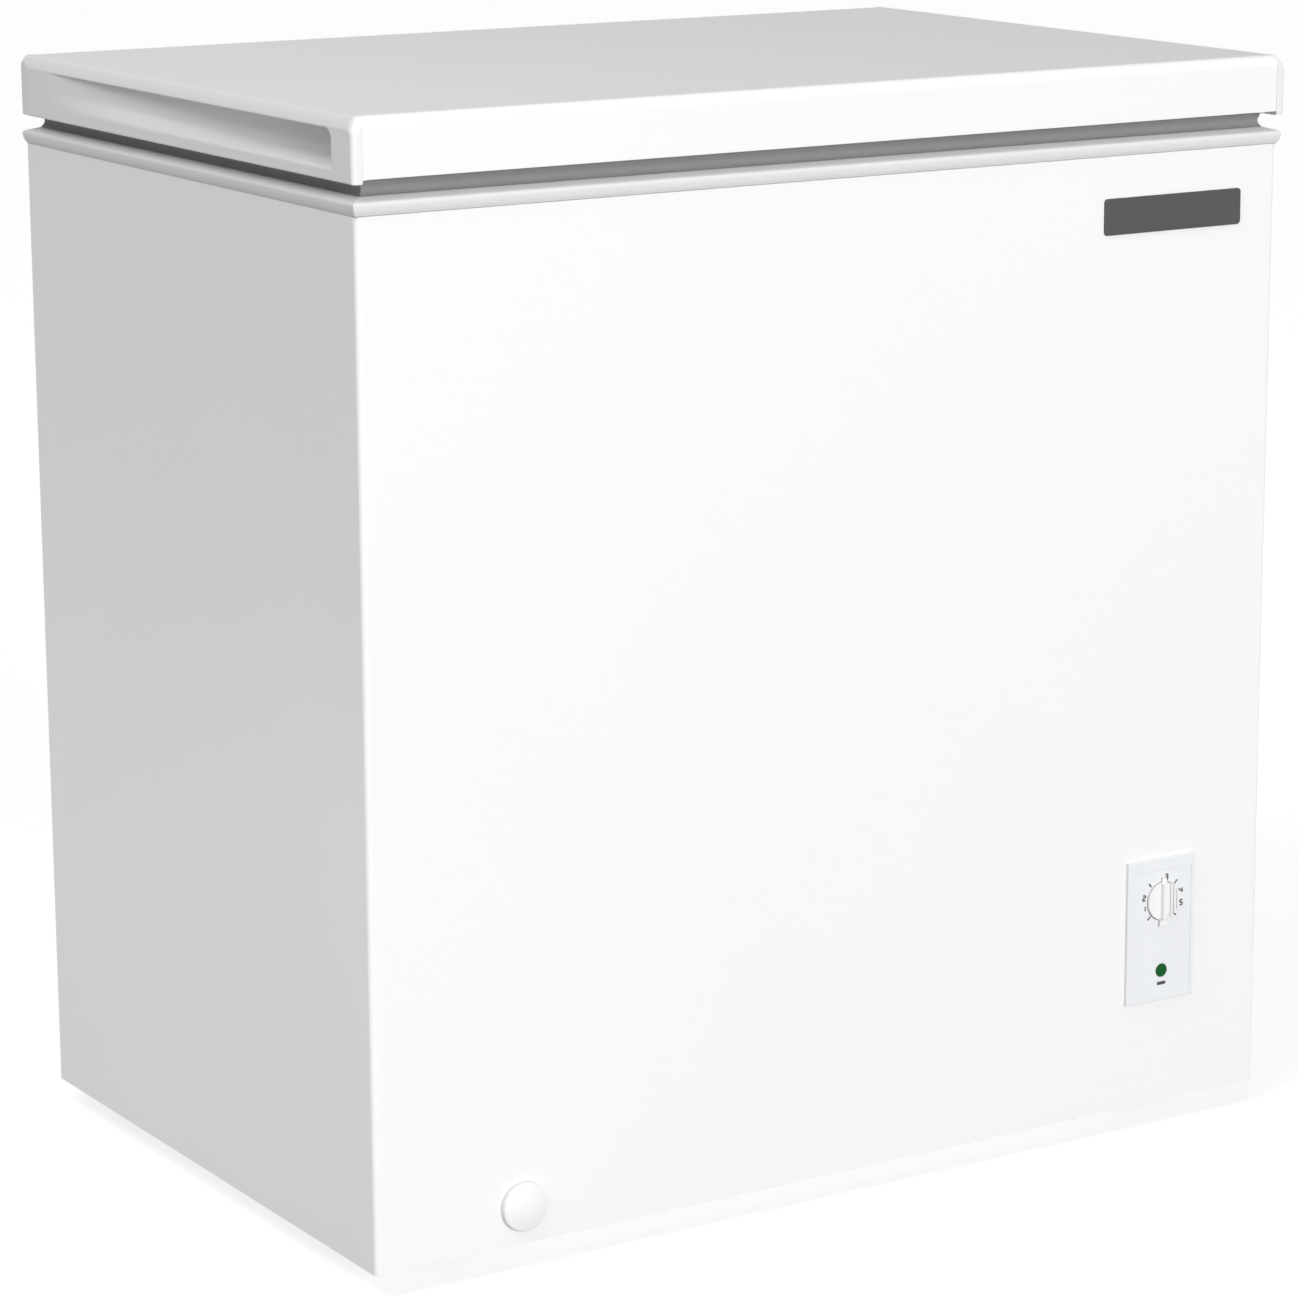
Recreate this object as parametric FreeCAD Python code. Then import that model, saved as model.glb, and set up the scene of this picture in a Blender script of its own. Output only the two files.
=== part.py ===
# Chest freezer, about 180 litres, with a top-opening foamed lid on two cam-and-spring hinges.
# Units are millimetres.  +X is the user's right, -Y the front, +Z up.  The origin is on the
# floor, at the middle of the object's box.
import FreeCAD, Part
import math
import os

V = FreeCAD.Vector
os.makedirs("parts", exist_ok=True)
for _old in os.listdir("parts"):
    if _old.endswith(".step"):
        os.remove(os.path.join("parts", _old))

# ------------------------------------------------------------------ driving dimensions
W = 808.0            # cabinet width over the steel wrap
D = 534.0            # cabinet depth over the steel wrap
FOOT_H = 20.0        # height of the feet
Y_SHIFT = -10.7      # puts the middle of the whole object's depth on Y = 0
T = 0.8              # sheet thickness of wrap, back, base and liner
WALL = 60.0          # wall thickness, outer face to inner face
FLOOR_Z = 80.0       # top of the liner floor
STEP_X = 118.0       # where the liner floor steps up over the machine room
STEP_Z = 330.0       # top of the step
ROOM_X = 178.0       # machine room starts here
ROOM_Z = 270.0       # machine room ceiling
FOAM_TOP = 784.0     # top edge of the foamed walls
FRAME_EDGE = 781.5   # lower edge of the frame's outer face
FRAME_TOP = 794.3    # gasket seat on the top frame
LIP_U = -2.85        # overhang of the frame's lip
LIP_Z = 789.5
LEDGE_Z = 786.0      # basket ledge inside the frame
LID_TOP = 850.0
SKIN_BOTTOM = 807.0  # bottom edge of the lid's steel skin
CAP_BOTTOM = 804.0   # bottom edge of the lid's end caps
LID_FRONT = -271.0
LID_REAR = 268.0
CAP_FRONT = -271.6
CAP_REAR = 270.0
CAP_X = 408.0        # outer face of the end caps
SEAM_X = 400.0       # where skin meets cap
PIVOT_Y = 284.0
PIVOT_Z = 796.0
HINGE_X = 290.0
CAM_H0 = 12.5        # cam height under the pivot, lid closed
CAM_K = 5.0          # plunger rise per radian of lid opening
KNOB_X, KNOB_Z = 305.4, 187.4
LAMP_Z = 129.8
PANEL_X0, PANEL_X1 = 270.6, 337.8
PANEL_Z0, PANEL_Z1 = 105.1, 222.3
KNOB_R = 15.4        # the dial sits almost flush in the panel
KNOB_FRONT = 8.6     # how far the grip bar stands out from the cabinet
DRAIN_X, DRAIN_Z = -281.7, 49.7
DRAIN_Y = -170.0     # drain hole in the liner floor
BADGE = (237.0, 369.0, 721.5, 749.5)

XO, YO = W / 2.0, D / 2.0
EX, EZ = V(1, 0, 0), V(0, 0, 1)
EY = V(0, 1, 0)


# ------------------------------------------------------------------ helpers
def box(x0, x1, y0, y1, z0, z1):
    return Part.makeBox(x1 - x0, y1 - y0, z1 - z0, V(x0, y0, z0))


def cyl(p, d, r, h):
    return Part.makeCylinder(r, h, V(*p), V(*d))


def face(pts):
    q = [V(*p) for p in pts]
    return Part.Face(Part.makePolygon(q + [q[0]]))


def prism_yz(pts, x0, x1):
    return face([(x0, y, z) for y, z in pts]).extrude(V(x1 - x0, 0, 0))


def prism_xz(pts, y0, y1):
    return face([(x, y0, z) for x, z in pts]).extrude(V(0, y1 - y0, 0))


def prism_xy(pts, z0, z1):
    return face([(x, y, z0) for x, y in pts]).extrude(V(0, 0, z1 - z0))


def cut(a, *bs):
    for b in bs:
        a = a.cut(b)
    return a


def fuse(a, *bs):
    a = a.multiFuse(list(bs)) if bs else a
    return a.removeSplitter()


def ring(profile, hx=XO, hy=YO, cy=0.0):
    """Mitred rectangular ring.  profile is a closed polygon of (inset, z)."""
    n = len(profile)
    faces = []
    for i in range(n):
        (u0, z0), (u1, z1) = profile[i], profile[(i + 1) % n]
        a = [(-hx + u0, -hy + u0), (hx - u0, -hy + u0), (hx - u0, hy - u0), (-hx + u0, hy - u0)]
        b = [(-hx + u1, -hy + u1), (hx - u1, -hy + u1), (hx - u1, hy - u1), (-hx + u1, hy - u1)]
        for k in range(4):
            m = (k + 1) % 4
            faces.append(face([(a[k][0], a[k][1] + cy, z0), (a[m][0], a[m][1] + cy, z0),
                               (b[m][0], b[m][1] + cy, z1), (b[k][0], b[k][1] + cy, z1)]))
    s = Part.Solid(Part.Shell(faces))
    if s.Volume < 0:
        s = s.reversed()
    return s


def rounded(x0, x1, y0, y1, z0, z1, r, floor_r=0.0):
    """Box with rounded upright corners and, if asked, rounded floor edges."""
    b = box(x0, x1, y0, y1, z0, z1)
    ups = [e for e in b.Edges if abs(e.Vertexes[0].Z - e.Vertexes[-1].Z) > 1]
    b = b.makeFillet(r, ups)
    if floor_r:
        low = [e for e in b.Edges if all(abs(v.Z - z0) < 1e-6 for v in e.Vertexes)]
        b = b.makeFillet(floor_r, low)
    return b


def path(points, radius):
    """Straight runs joined by tangent arcs."""
    P = [V(*p) for p in points]
    edges, last = [], P[0]
    for i in range(1, len(P) - 1):
        d1, d2 = P[i] - P[i - 1], P[i + 1] - P[i]
        l1, l2 = d1.Length, d2.Length
        d1, d2 = d1.normalize(), d2.normalize()
        turn = d1.getAngle(d2)
        if turn < 1e-4:
            continue
        r = min(radius, 0.45 * min(l1, l2) / math.tan(turn / 2))
        t = r * math.tan(turn / 2)
        a, b = P[i] - d1 * t, P[i] + d2 * t
        inward = (d2 - d1).normalize()
        c = P[i] + inward * (r / math.cos(turn / 2))
        mid = c + (P[i] - c).normalize() * r
        edges.append(Part.LineSegment(last, a).toShape())
        edges.append(Part.Arc(a, mid, b).toShape())
        last = b
    edges.append(Part.LineSegment(last, P[-1]).toShape())
    return Part.Wire(edges)


def tube(points, r, bend, bore=0.0):
    w = path(points, bend)
    d = V(*points[1]) - V(*points[0])
    s = w.makePipeShell([Part.Wire(Part.makeCircle(r, V(*points[0]), d))], True, True)
    want = math.pi * r * r * w.Length
    if abs(s.Volume) < 0.97 * want or abs(s.Volume) > 1.03 * want:
        print("tube volume off", s.Volume, want)
    if s.Volume < 0:
        s = s.reversed()
    if bore:
        q = w.makePipeShell([Part.Wire(Part.makeCircle(bore, V(*points[0]), d))], True, True)
        s = s.cut(q)
    return s


NODES = {}


def add(name, shape):
    NODES[name] = shape


SCREWS = []          # (node, head-seat point, direction of the shank, length)


def screw(p, d, length=9.0):
    """Pan-head screw with a cross recess: seat point p, shank along d."""
    P, dv = V(*p), V(*d)
    head = Part.makeCylinder(4.0, 1.4, P - dv * 1.4, dv)
    dome = Part.makeCone(2.6, 4.0, 1.0, P - dv * 2.4, dv)
    shank = Part.makeCylinder(1.9, length - 2.0, P, dv)
    tip = Part.makeCone(1.9, 0.4, 2.0, P + dv * (length - 2.0), dv)
    s = head.fuse([dome, shank, tip]).removeSplitter()
    side = EX if abs(d[0]) < 0.5 else EY
    up = dv.cross(side)
    for a, b in ((side, up), (up, side)):
        pts = [P - dv * 2.5 + a * (2.2 * sa) + b * (0.45 * sb) for sa, sb in ((-1, -1), (1, -1), (1, 1), (-1, 1))]
        s = s.cut(Part.Face(Part.makePolygon(pts + [pts[0]])).extrude(dv * 1.4))
    return s


def hole(p, d, r=1.9, length=9.0):
    return Part.makeCylinder(r, length + 1.0, V(*p) - V(*d) * 1.0, V(*d))


# ------------------------------------------------------------------ cabinet skin
def u_wrap():
    """One bent sheet: left side, front and right side, with 4 mm bends."""
    outer = box(-XO, XO, -YO, YO, FOOT_H, 786.0)
    fe = [e for e in outer.Edges if abs(e.Vertexes[0].Z - e.Vertexes[-1].Z) > 1 and e.Vertexes[0].Y < 0]
    outer = outer.makeFillet(4.0, fe)
    inner = box(-XO + T, XO - T, -YO + T, YO + 1, FOOT_H - 1, 787.0)
    fe = [e for e in inner.Edges if abs(e.Vertexes[0].Z - e.Vertexes[-1].Z) > 1 and e.Vertexes[0].Y < 0]
    inner = inner.makeFillet(4.0 - T, fe)
    s = outer.cut(inner)
    # short return hem under the front and the sides keeps the bottom edge stiff
    hem = fuse(box(-XO + T / 2, -XO + 12, -YO + 4, YO - T, FOOT_H, FOOT_H + T), box(XO - 12, XO - T / 2, -YO + 4, YO - T, FOOT_H, FOOT_H + T),
               box(-XO + 4, XO - 4, -YO + T / 2, -YO + 12, FOOT_H, FOOT_H + T))
    return s.fuse(hem).removeSplitter()


wrap = u_wrap()
panel_hole = box(273.0, 333.0, -YO - 1, -YO + 2, 112.0, 217.5)
drain_hole = cyl((DRAIN_X, -YO - 1, DRAIN_Z), (0, 1, 0), 12.2, 3)
GR = (30.0, 230.0, 60.0, 215.0)      # side grille: y0, y1, z0, z1
grille_hole = box(XO - 3, XO + 1, GR[0] + 12, GR[1] - 12, GR[2] + 12, GR[3] - 12)
wrap = cut(wrap, panel_hole, drain_hole, grille_hole)

# back panel: flat sheet with the machine-room opening and two shallow stiffening swages
ROOM_HOLE = (192.0, 392.0, 40.0, 250.0)
back = box(-XO + T, XO - T, YO - T, YO, FOOT_H, 786.0)
back = back.cut(box(ROOM_HOLE[0], ROOM_HOLE[1], YO - 2, YO + 1, ROOM_HOLE[2], ROOM_HOLE[3]))

base = box(-XO + 12.2, ROOM_X - T, -YO + 12.2, YO - T, FOOT_H, FOOT_H + T)
# the foam stops on the hem and on the base pan
bulk = fuse(box(ROOM_X - T, ROOM_X, -YO + 12.2, YO - T, FOOT_H, ROOM_Z + T),
            box(ROOM_X - T, ROOM_X, -YO + T, YO - T, FOOT_H + T, ROOM_Z + T),
            box(ROOM_X, XO - T, -YO + T, YO - T, ROOM_Z, ROOM_Z + T))

# ------------------------------------------------------------------ liner
cav_a = rounded(-XO + WALL, STEP_X, -YO + WALL, YO - WALL, FLOOR_Z, 800, 25, 10)
cav_b = rounded(-XO + WALL, XO - WALL, -YO + WALL, YO - WALL, STEP_Z, 800, 25)
cavity = fuse(cav_a, cav_b)
out_a = rounded(-XO + WALL - T, STEP_X + T, -YO + WALL - T, YO - WALL + T, FLOOR_Z - T, FOAM_TOP, 25.8, 10.8)
out_b = rounded(-XO + WALL - T, XO - WALL + T, -YO + WALL - T, YO - WALL + T, STEP_Z - T, FOAM_TOP, 25.8)
liner_outer = fuse(out_a, out_b)
liner = liner_outer.cut(cavity)
liner = liner.cut(cyl((DRAIN_X, DRAIN_Y, FLOOR_Z - 5), (0, 0, 1), 9.0, 10))

# ------------------------------------------------------------------ coils
ER = 3.2
eu = WALL - T - ER - 0.3
ex, ey = XO - eu, YO - eu
levels = [735.0 - 55.0 * i for i in range(7)]
ev = [(250, ey + 12.0, 255.0), (250, ey + 12.0, levels[0] + 12), (200, ey, levels[0] + 12), (-ex, ey, levels[0])]
for i, z in enumerate(levels):
    ev += [(-ex, -ey, z), (ex, -ey, z), (ex, ey, z)]
    if i + 1 < len(levels):
        ev += [(-ex, ey, levels[i + 1])]
zl = levels[-1]
ev += [(300, ey, zl - 6), (300, ey + 5, 255.0)]
evap = tube(ev, ER, 29.0)

CR = 2.5
cu = T + CR + 0.2
cx, cyy = -XO + cu, -YO + cu
rows = [72.0 + 60.0 * i for i in range(12)]
reach = [230.0] + [0.0] * 11         # where each row turns on the front wall
cd = [(230.0, cyy, rows[0]), (cx, cyy, rows[0]), (cx, 225.0, rows[0])]
for i in range(1, 12, 2):
    z = rows[i]
    cd += [(cx, 225.0, z), (cx, cyy, z)]
    if i < 11:
        xe = 150.0 if z < 290 else 350.0
        reach[i] = reach[i + 1] = xe
        cd += [(xe, cyy, z), (xe, cyy, rows[i + 1]), (cx, cyy, rows[i + 1]), (cx, 225.0, rows[i + 1])]
reach[11] = 375.0
cd += [(375.0, cyy, rows[-1]), (375.0, cyy, 240.0)]
cond = tube(cd, CR, 14.0)

# ------------------------------------------------------------------ foam
foam = box(-XO + T, XO - T, -YO + T, YO - T, FOOT_H + T, FOAM_TOP)
fe = [e for e in foam.Edges if abs(e.Vertexes[0].Z - e.Vertexes[-1].Z) > 1 and e.Vertexes[0].Y < 0]
foam = foam.makeFillet(4.0 - T, fe)
foam = foam.fuse(ring([(T, FOAM_TOP), (T, 788.2), (8.5, 791.8), (43.0, 791.8), (48.5, FOAM_TOP)]))
foam = cut(foam, box(ROOM_X - T, XO + 1, -YO - 1, YO + 1, 0, ROOM_Z + T),
           fuse(liner_outer, box(-XO + WALL, XO - WALL, -YO + WALL, YO - WALL, 700, 830).common(cav_b)))
gx, gy = ex + ER + 0.6, ey + ER + 0.6
grooves = [box(-gx, gx, -gy, gy, z - 4.2, z + 4.2) for z in levels]
grooves.append(box(-gx, gx, ey - 6, gy, levels[-1] - 12, levels[0] + 18))
grooves.append(box(196, 256, ey - 6, ey + 17, levels[0] - 24, levels[0] + 20))
grooves.append(box(244, 256, ey + 5, ey + 17, ROOM_Z, levels[0] + 20))
grooves.append(box(294, 326, ey - 6, ey + 12, ROOM_Z, levels[-1] + 5))
# wider pockets at the rear corners, where each turn leaves its level
for z in levels:
    grooves.append(box(ex - 40, gx, ey - 40, gy, z - 9.0, z + 4.2))
    grooves.append(box(-gx, -ex + 40, ey - 40, gy, z - 4.2, z + 9.0))
cg = cu + CR + 0.6
for i, z in enumerate(rows):
    xe = ROOM_X if i == 0 else reach[i] + 6.0
    grooves.append(box(-XO, xe, -YO, -YO + cg, z - 3.4, z + 3.4))
    grooves.append(box(-XO, -XO + cg, -YO, 231.0, z - 3.4, z + 3.4))
    grooves.append(box(-XO, -XO + cu + 16, -YO, -YO + cu + 16, z - 3.4, z + 3.4))
for i in range(len(rows) - 1):
    z0, z1 = rows[i], rows[i + 1]
    if i % 2 == 0:
        grooves.append(box(-XO, -XO + cg, 219.0, 231.0, z0, z1))
        for zz in (z0, z1 - 17):
            grooves.append(box(-XO, -XO + cg, 208.0, 231.0, zz, zz + 17))
    else:
        grooves.append(box(reach[i] - 6, reach[i] + 6, -YO, -YO + cg, z0, z1))
        for zz in (z0, z1 - 17):
            grooves.append(box(reach[i] - 18, reach[i] + 6, -YO, -YO + cg, zz, zz + 17))
grooves.append(box(369.0, 381.0, -YO, -YO + cg, ROOM_Z, rows[-1]))
grooves.append(box(357.0, 381.0, -YO, -YO + cg, rows[-1] - 18, rows[-1]))
for g in grooves:
    foam = foam.cut(g)

# ------------------------------------------------------------------ drain
dpts = [(DRAIN_X, DRAIN_Y, FLOOR_Z - T), (DRAIN_X, DRAIN_Y, DRAIN_Z), (DRAIN_X, -YO, DRAIN_Z)]
drain = tube(dpts, 11.0, 12.0, 9.0)
foam = foam.cut(tube([(DRAIN_X, DRAIN_Y, FLOOR_Z + 3), (DRAIN_X, DRAIN_Y, DRAIN_Z), (DRAIN_X, -YO - 3, DRAIN_Z)], 11.05, 12.0))
wrapclear = cyl((DRAIN_X, -YO - 1, DRAIN_Z), (0, 1, 0), 11.1, 3)
cap = cyl((DRAIN_X, -YO - 4.4, DRAIN_Z), (0, 1, 0), 18.5, 4.0)
cap = cap.fuse(Part.makeSphere(62.0, V(DRAIN_X, -YO + 54.5, DRAIN_Z)).common(cyl((DRAIN_X, -YO - 10, DRAIN_Z), (0, 1, 0), 18.5, 7.0)))
cap = fuse(cap, cyl((DRAIN_X, -YO - 1, DRAIN_Z), (0, 1, 0), 8.7, 19.0))
edge = [e for e in cap.Edges if abs(e.BoundBox.YMin + YO + 4.74) < 0.3 and e.Length > 100]
try:
    cap = cap.makeFillet(1.6, edge[:1]) if edge else cap
except Exception as err:
    print("drain cap edge left sharp", err)
plug = fuse(cyl((DRAIN_X, DRAIN_Y, FLOOR_Z + 0.3), (0, 0, 1), 14.0, 4.0),
            cyl((DRAIN_X, DRAIN_Y, FLOOR_Z - 9), (0, 0, 1), 8.7, 10.0),
            box(DRAIN_X - 2, DRAIN_X + 2, DRAIN_Y - 9, DRAIN_Y + 9, FLOOR_Z + 3, FLOOR_Z + 14))

# ------------------------------------------------------------------ top frame, a hollow plastic collar
frame = ring([(0, FRAME_EDGE), (LIP_U + 1.1, 784.6), (LIP_U + 0.3, 787.2), (LIP_U, LIP_Z), (LIP_U + 0.45, 790.7), (LIP_U + 1.7, 791.6), (8.0, FRAME_TOP), (44.0, FRAME_TOP), (50.0, LEDGE_Z), (61.5, LEDGE_Z),
              (61.5, 772.0), (60.0, 772.0), (60.0, 784.0), (48.5, 784.0), (43.0, 791.8), (8.5, 791.8), (T, 788.2), (T, 786.0), (0, 786.0)])
# the collar follows the liner's rounded corners with small gussets
gus = box(-XO + WALL, XO - WALL, -YO + WALL, YO - WALL, 772, 784).cut(rounded(-XO + WALL, XO - WALL, -YO + WALL, YO - WALL, 771, 785, 25))
frame = frame.cut(gus)
ledge = box(-XO + 60, XO - 60, -YO + 60, YO - 60, 784, LEDGE_Z).cut(rounded(-XO + 61.5, XO - 61.5, -YO + 61.5, YO - 61.5, 780, 790, 24))
frame = fuse(frame, ledge)

# ------------------------------------------------------------------ machine room
plate = box(ROOM_X, XO - T - 12.2 + T, -YO + 12.2, YO - T, FOOT_H, FOOT_H + 2.0)
plate = fuse(plate, box(ROOM_X, XO - 13, -YO + 12.2, -YO + 14.2, FOOT_H, FOOT_H + 14),
             box(ROOM_X, XO - 13, YO - T - 2.0, YO - T, FOOT_H, FOOT_H + 14))
CXc, CYc = 292.0, 128.0
MX, MY = 82.5, 55.0
bolts_at = [(CXc + sx * MX, CYc + sy * MY) for sx in (-1, 1) for sy in (-1, 1)]
for bx_, by_ in bolts_at:
    plate = plate.cut(cyl((bx_, by_, FOOT_H - 1), (0, 0, 1), 3.2, 4))
for i in range(6):
    y0 = -150.0 + 26.0 * i
    plate = plate.cut(box(220, 360, y0, y0 + 8, FOOT_H - 1, FOOT_H + 3))

# hermetic can: two pressed shells with a weld seam, on a four-legged carrier
w1 = Part.Wire([
    Part.LineSegment(V(0, 0, 46), V(52, 0, 46)).toShape(),
    Part.Arc(V(52, 0, 46), V(67.556, 0, 52.444), V(74, 0, 68)).toShape(),
    Part.LineSegment(V(74, 0, 68), V(74, 0, 112)).toShape(),
    Part.LineSegment(V(74, 0, 112), V(77, 0, 112)).toShape(),
    Part.LineSegment(V(77, 0, 112), V(77, 0, 120)).toShape(),
    Part.LineSegment(V(77, 0, 120), V(74, 0, 120)).toShape(),
    Part.LineSegment(V(74, 0, 120), V(74, 0, 160)).toShape(),
    Part.Arc(V(74, 0, 160), V(63.455, 0, 185.455), V(38, 0, 196)).toShape(),
    Part.LineSegment(V(38, 0, 196), V(0, 0, 196)).toShape(),
    Part.LineSegment(V(0, 0, 196), V(0, 0, 46)).toShape()])
can = Part.Face(w1).revolve(V(0, 0, 0), V(0, 0, 1), 360)
can.translate(V(CXc, CYc, 0))
carrier = rounded(CXc - MX - 16, CXc + MX + 16, CYc - MY - 16, CYc + MY + 16, 43, 46, 14)
carrier = carrier.cut(box(CXc - 60, CXc + 60, CYc - 90, CYc - 52, 40, 50)).cut(box(CXc - 60, CXc + 60, CYc + 52, CYc + 90, 40, 50))
can = fuse(can, carrier)
mounts, bolts = [], []
for bx_, by_ in bolts_at:
    can = can.cut(cyl((bx_, by_, 40), (0, 0, 1), 7.0, 10))
    m = cyl((bx_, by_, 22), (0, 0, 1), 12.0, 21).fuse([cyl((bx_, by_, 43), (0, 0, 1), 7.0, 3), cyl((bx_, by_, 46), (0, 0, 1), 11.0, 5)])
    m = m.cut(cyl((bx_, by_, 20), (0, 0, 1), 3.2, 40)).cut(cyl((bx_, by_, 31), (0, 0, 1), 13, 4).cut(cyl((bx_, by_, 30), (0, 0, 1), 9.5, 6)))
    mounts.append(m.removeSplitter())
    head = prism_xy([(bx_ + 5.8 * math.cos(math.radians(60 * k)), by_ + 5.8 * math.sin(math.radians(60 * k))) for k in range(6)], 53, 57)
    bolts.append(fuse(head, cyl((bx_, by_, 51), (0, 0, 1), 8.0, 2), cyl((bx_, by_, 16.5), (0, 0, 1), 3.1, 36)))
# terminal housing on the can's left flank and the relay inside it
tc = (CXc - 110, CXc - 73.5)
cover = box(tc[0], CXc - 60, CYc - 28, CYc + 28, 78, 142).cut(box(tc[0] + 2, CXc - 40, CYc - 26, CYc + 26, 80, 140))
cover = cover.cut(cyl((CXc, CYc, 60), (0, 0, 1), 77.2, 100))
relay = box(tc[0] + 6, tc[0] + 28, CYc - 18, CYc + 18, 90, 130)
relay = fuse(relay, cyl((tc[0] + 28, CYc, 110), (1, 0, 0), 10, 5))
# filter drier with its two necks
drier = Part.makeCylinder(9.0, 84, V(215, -60, 150), V(0, 1, 0))
drier = drier.fuse([Part.makeCone(3.2, 9.0, 9, V(215, -69, 150), V(0, 1, 0)), Part.makeCone(9.0, 3.2, 9, V(215, 24, 150), V(0, 1, 0))]).removeSplitter()
# discharge line: can -> condenser; liquid line: condenser -> drier; suction line: evaporator -> can
disch = tube([(CXc - 20, CYc - 70.5, 90), (CXc - 20, CYc - 110, 90), (230, -60, 70), (230, -200, 72), (230, cyy + 30, 72), (230, cyy + 3.0, 72)], 3.0, 14)
disch = disch.cut(cyl((CXc, CYc, 40), (0, 0, 1), 74.0, 100))
liquid = tube([(375, cyy, 240.0), (375, cyy, 228), (362, cyy + 30, 222), (250, -190, 222), (215, -150, 150), (215, -69, 150)], 2.5, 14)
suct = tube([(300, ey + 5, 255.0), (300, ey + 5, 236), (340, 190, 215), (372, 150, 205), (CXc + 55, CYc + 20, 208), (CXc + 30, CYc + 8, 208), (CXc + 30, CYc + 8, 196)], 3.2, 12)
pipes = Part.makeCompound([disch, liquid, suct])
capil = tube([(215, 33, 150), (215, 60, 150), (200, 75, 168), (212, 95, 186), (200, 120, 200), (210, 150, 214), (222, 190, 226), (250, ey + 12, 240), (250, ey + 12, 255)], 1.1, 12)
bulk = cut(bulk, cyl((250, ey + 12, ROOM_Z - 2), (0, 0, 1), 3.4, 5), cyl((300, ey + 5, ROOM_Z - 2), (0, 0, 1), 3.4, 5),
           box(369, 381, -YO, -YO + cg, ROOM_Z - 1, ROOM_Z + 2), box(ROOM_X - 2, ROOM_X + 2, -YO, -YO + cg, rows[0] - 4, rows[0] + 4))

# ------------------------------------------------------------------ thermostat and panel
fy = -YO
th = box(KNOB_X - 17, KNOB_X + 17, fy + 14, fy + 40, KNOB_Z - 22, KNOB_Z + 22)
th = fuse(th, cyl((KNOB_X, fy + 8, KNOB_Z), (0, 1, 0), 8, 6), box(KNOB_X - 9, KNOB_X - 5, fy + 40, fy + 48, KNOB_Z - 12, KNOB_Z + 12),
          box(KNOB_X + 5, KNOB_X + 9, fy + 40, fy + 48, KNOB_Z - 12, KNOB_Z + 12))
th = th.cut(cyl((KNOB_X, fy + 7, KNOB_Z), (0, 1, 0), 3.06, 9))
pz0, pz1, px0, px1 = PANEL_Z0, PANEL_Z1, PANEL_X0, PANEL_X1
panel = box(px0, px1, fy - 3.0, fy, pz0, pz1)
pe = [e for e in panel.Edges if all(abs(v.Y - (fy - 3.0)) < 1e-6 for v in e.Vertexes)]
panel = panel.makeFillet(0.9, pe)
skirt = box(273.4, 332.6, fy, fy + 14, 112.4, 217.1).cut(box(275.4, 330.6, fy - 0.0, fy + 15, 114.4, 215.1))
panel = fuse(panel, skirt)
panel = panel.cut(box(px0 + 4, px1 - 4, fy - 3.5, fy - 2.6, pz0 + 4, pz1 - 9))
bosses = [cyl((KNOB_X + s * 20.5, fy - 1, KNOB_Z + 18), (0, 1, 0), 4, 14) for s in (-1, 1)]
panel = fuse(panel, *[b.common(box(275.4, 330.6, fy - 1, fy + 14, 114.4, 215.1)) for b in bosses])
panel = cut(panel, cyl((KNOB_X, fy - 5, KNOB_Z), (0, 1, 0), KNOB_R + 0.5, 20), cyl((KNOB_X, fy - 5, LAMP_Z), (0, 1, 0), 5.6, 20))
lens = fuse(cyl((KNOB_X, fy - 3.6, LAMP_Z), (0, 1, 0), 5.5, 5.6), cyl((KNOB_X, fy + 0.0, LAMP_Z), (0, 1, 0), 7.5, 2.0))
le = [e for e in lens.Edges if abs(e.BoundBox.YMax - (fy - 3.6)) < 1e-3 and e.BoundBox.YLength < 1e-3]
lens = lens.makeFillet(1.2, le)
lamp = fuse(cyl((KNOB_X, fy + 2.0, LAMP_Z), (0, 1, 0), 6.5, 16), box(KNOB_X - 5, KNOB_X - 2, fy + 18, fy + 25, LAMP_Z - 1, LAMP_Z + 1), box(KNOB_X + 2, KNOB_X + 5, fy + 18, fy + 25, LAMP_Z - 1, LAMP_Z + 1))
# knob: a dial almost flush with the panel, with a grip bar, ribs on its right half, a pointer that hangs down at zero and a tab at the top
kf = fy - KNOB_FRONT
knob = cyl((KNOB_X, fy - 5.0, KNOB_Z), (0, 1, 0), KNOB_R, 10.0)
rim_ = [e for e in knob.Edges if abs(e.BoundBox.YMax - (fy - 5.0)) < 1e-3 and e.BoundBox.YLength < 1e-3]
knob = knob.makeFillet(0.6, rim_)
for gx_ in (5.8, 9.0, 12.2):
    knob = knob.cut(box(KNOB_X + gx_ - 0.75, KNOB_X + gx_ + 0.75, fy - 6.0, fy - 3.9, KNOB_Z - 17, KNOB_Z + 17))
bar = prism_xy([(KNOB_X - 3.9, fy - 4.4), (KNOB_X - 3.0, kf), (KNOB_X + 3.0, kf), (KNOB_X + 3.9, fy - 4.4)], KNOB_Z - 14.6, KNOB_Z + 14.6)
be = [e for e in bar.Edges if abs(e.BoundBox.YMax - kf) < 1e-3 and e.BoundBox.YLength < 1e-3]
bar = bar.makeFillet(0.8, be)
pointer = prism_xz([(KNOB_X - 2.7, KNOB_Z - 13.0), (KNOB_X - 4.4, KNOB_Z - 20.6), (KNOB_X + 4.4, KNOB_Z - 20.6), (KNOB_X + 2.7, KNOB_Z - 13.0)], fy - 4.9, fy - 3.0)
tab = box(KNOB_X - 2.0, KNOB_X + 2.0, fy - 4.9, fy - 3.0, KNOB_Z + 13.0, KNOB_Z + 19.2)
knob = fuse(knob, bar, pointer, tab)
knob = knob.cut(box(KNOB_X - 1.3, KNOB_X + 1.3, kf - 1, kf + 0.7, KNOB_Z - 13.2, KNOB_Z - 9.8))
dshape = cyl((KNOB_X, fy - 2.0, KNOB_Z), (0, 1, 0), 3.0, 17.0).cut(box(KNOB_X - 4, KNOB_X + 4, fy - 3, fy + 5.0, KNOB_Z + 1.8, KNOB_Z + 5))
shaft = dshape.copy()
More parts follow.
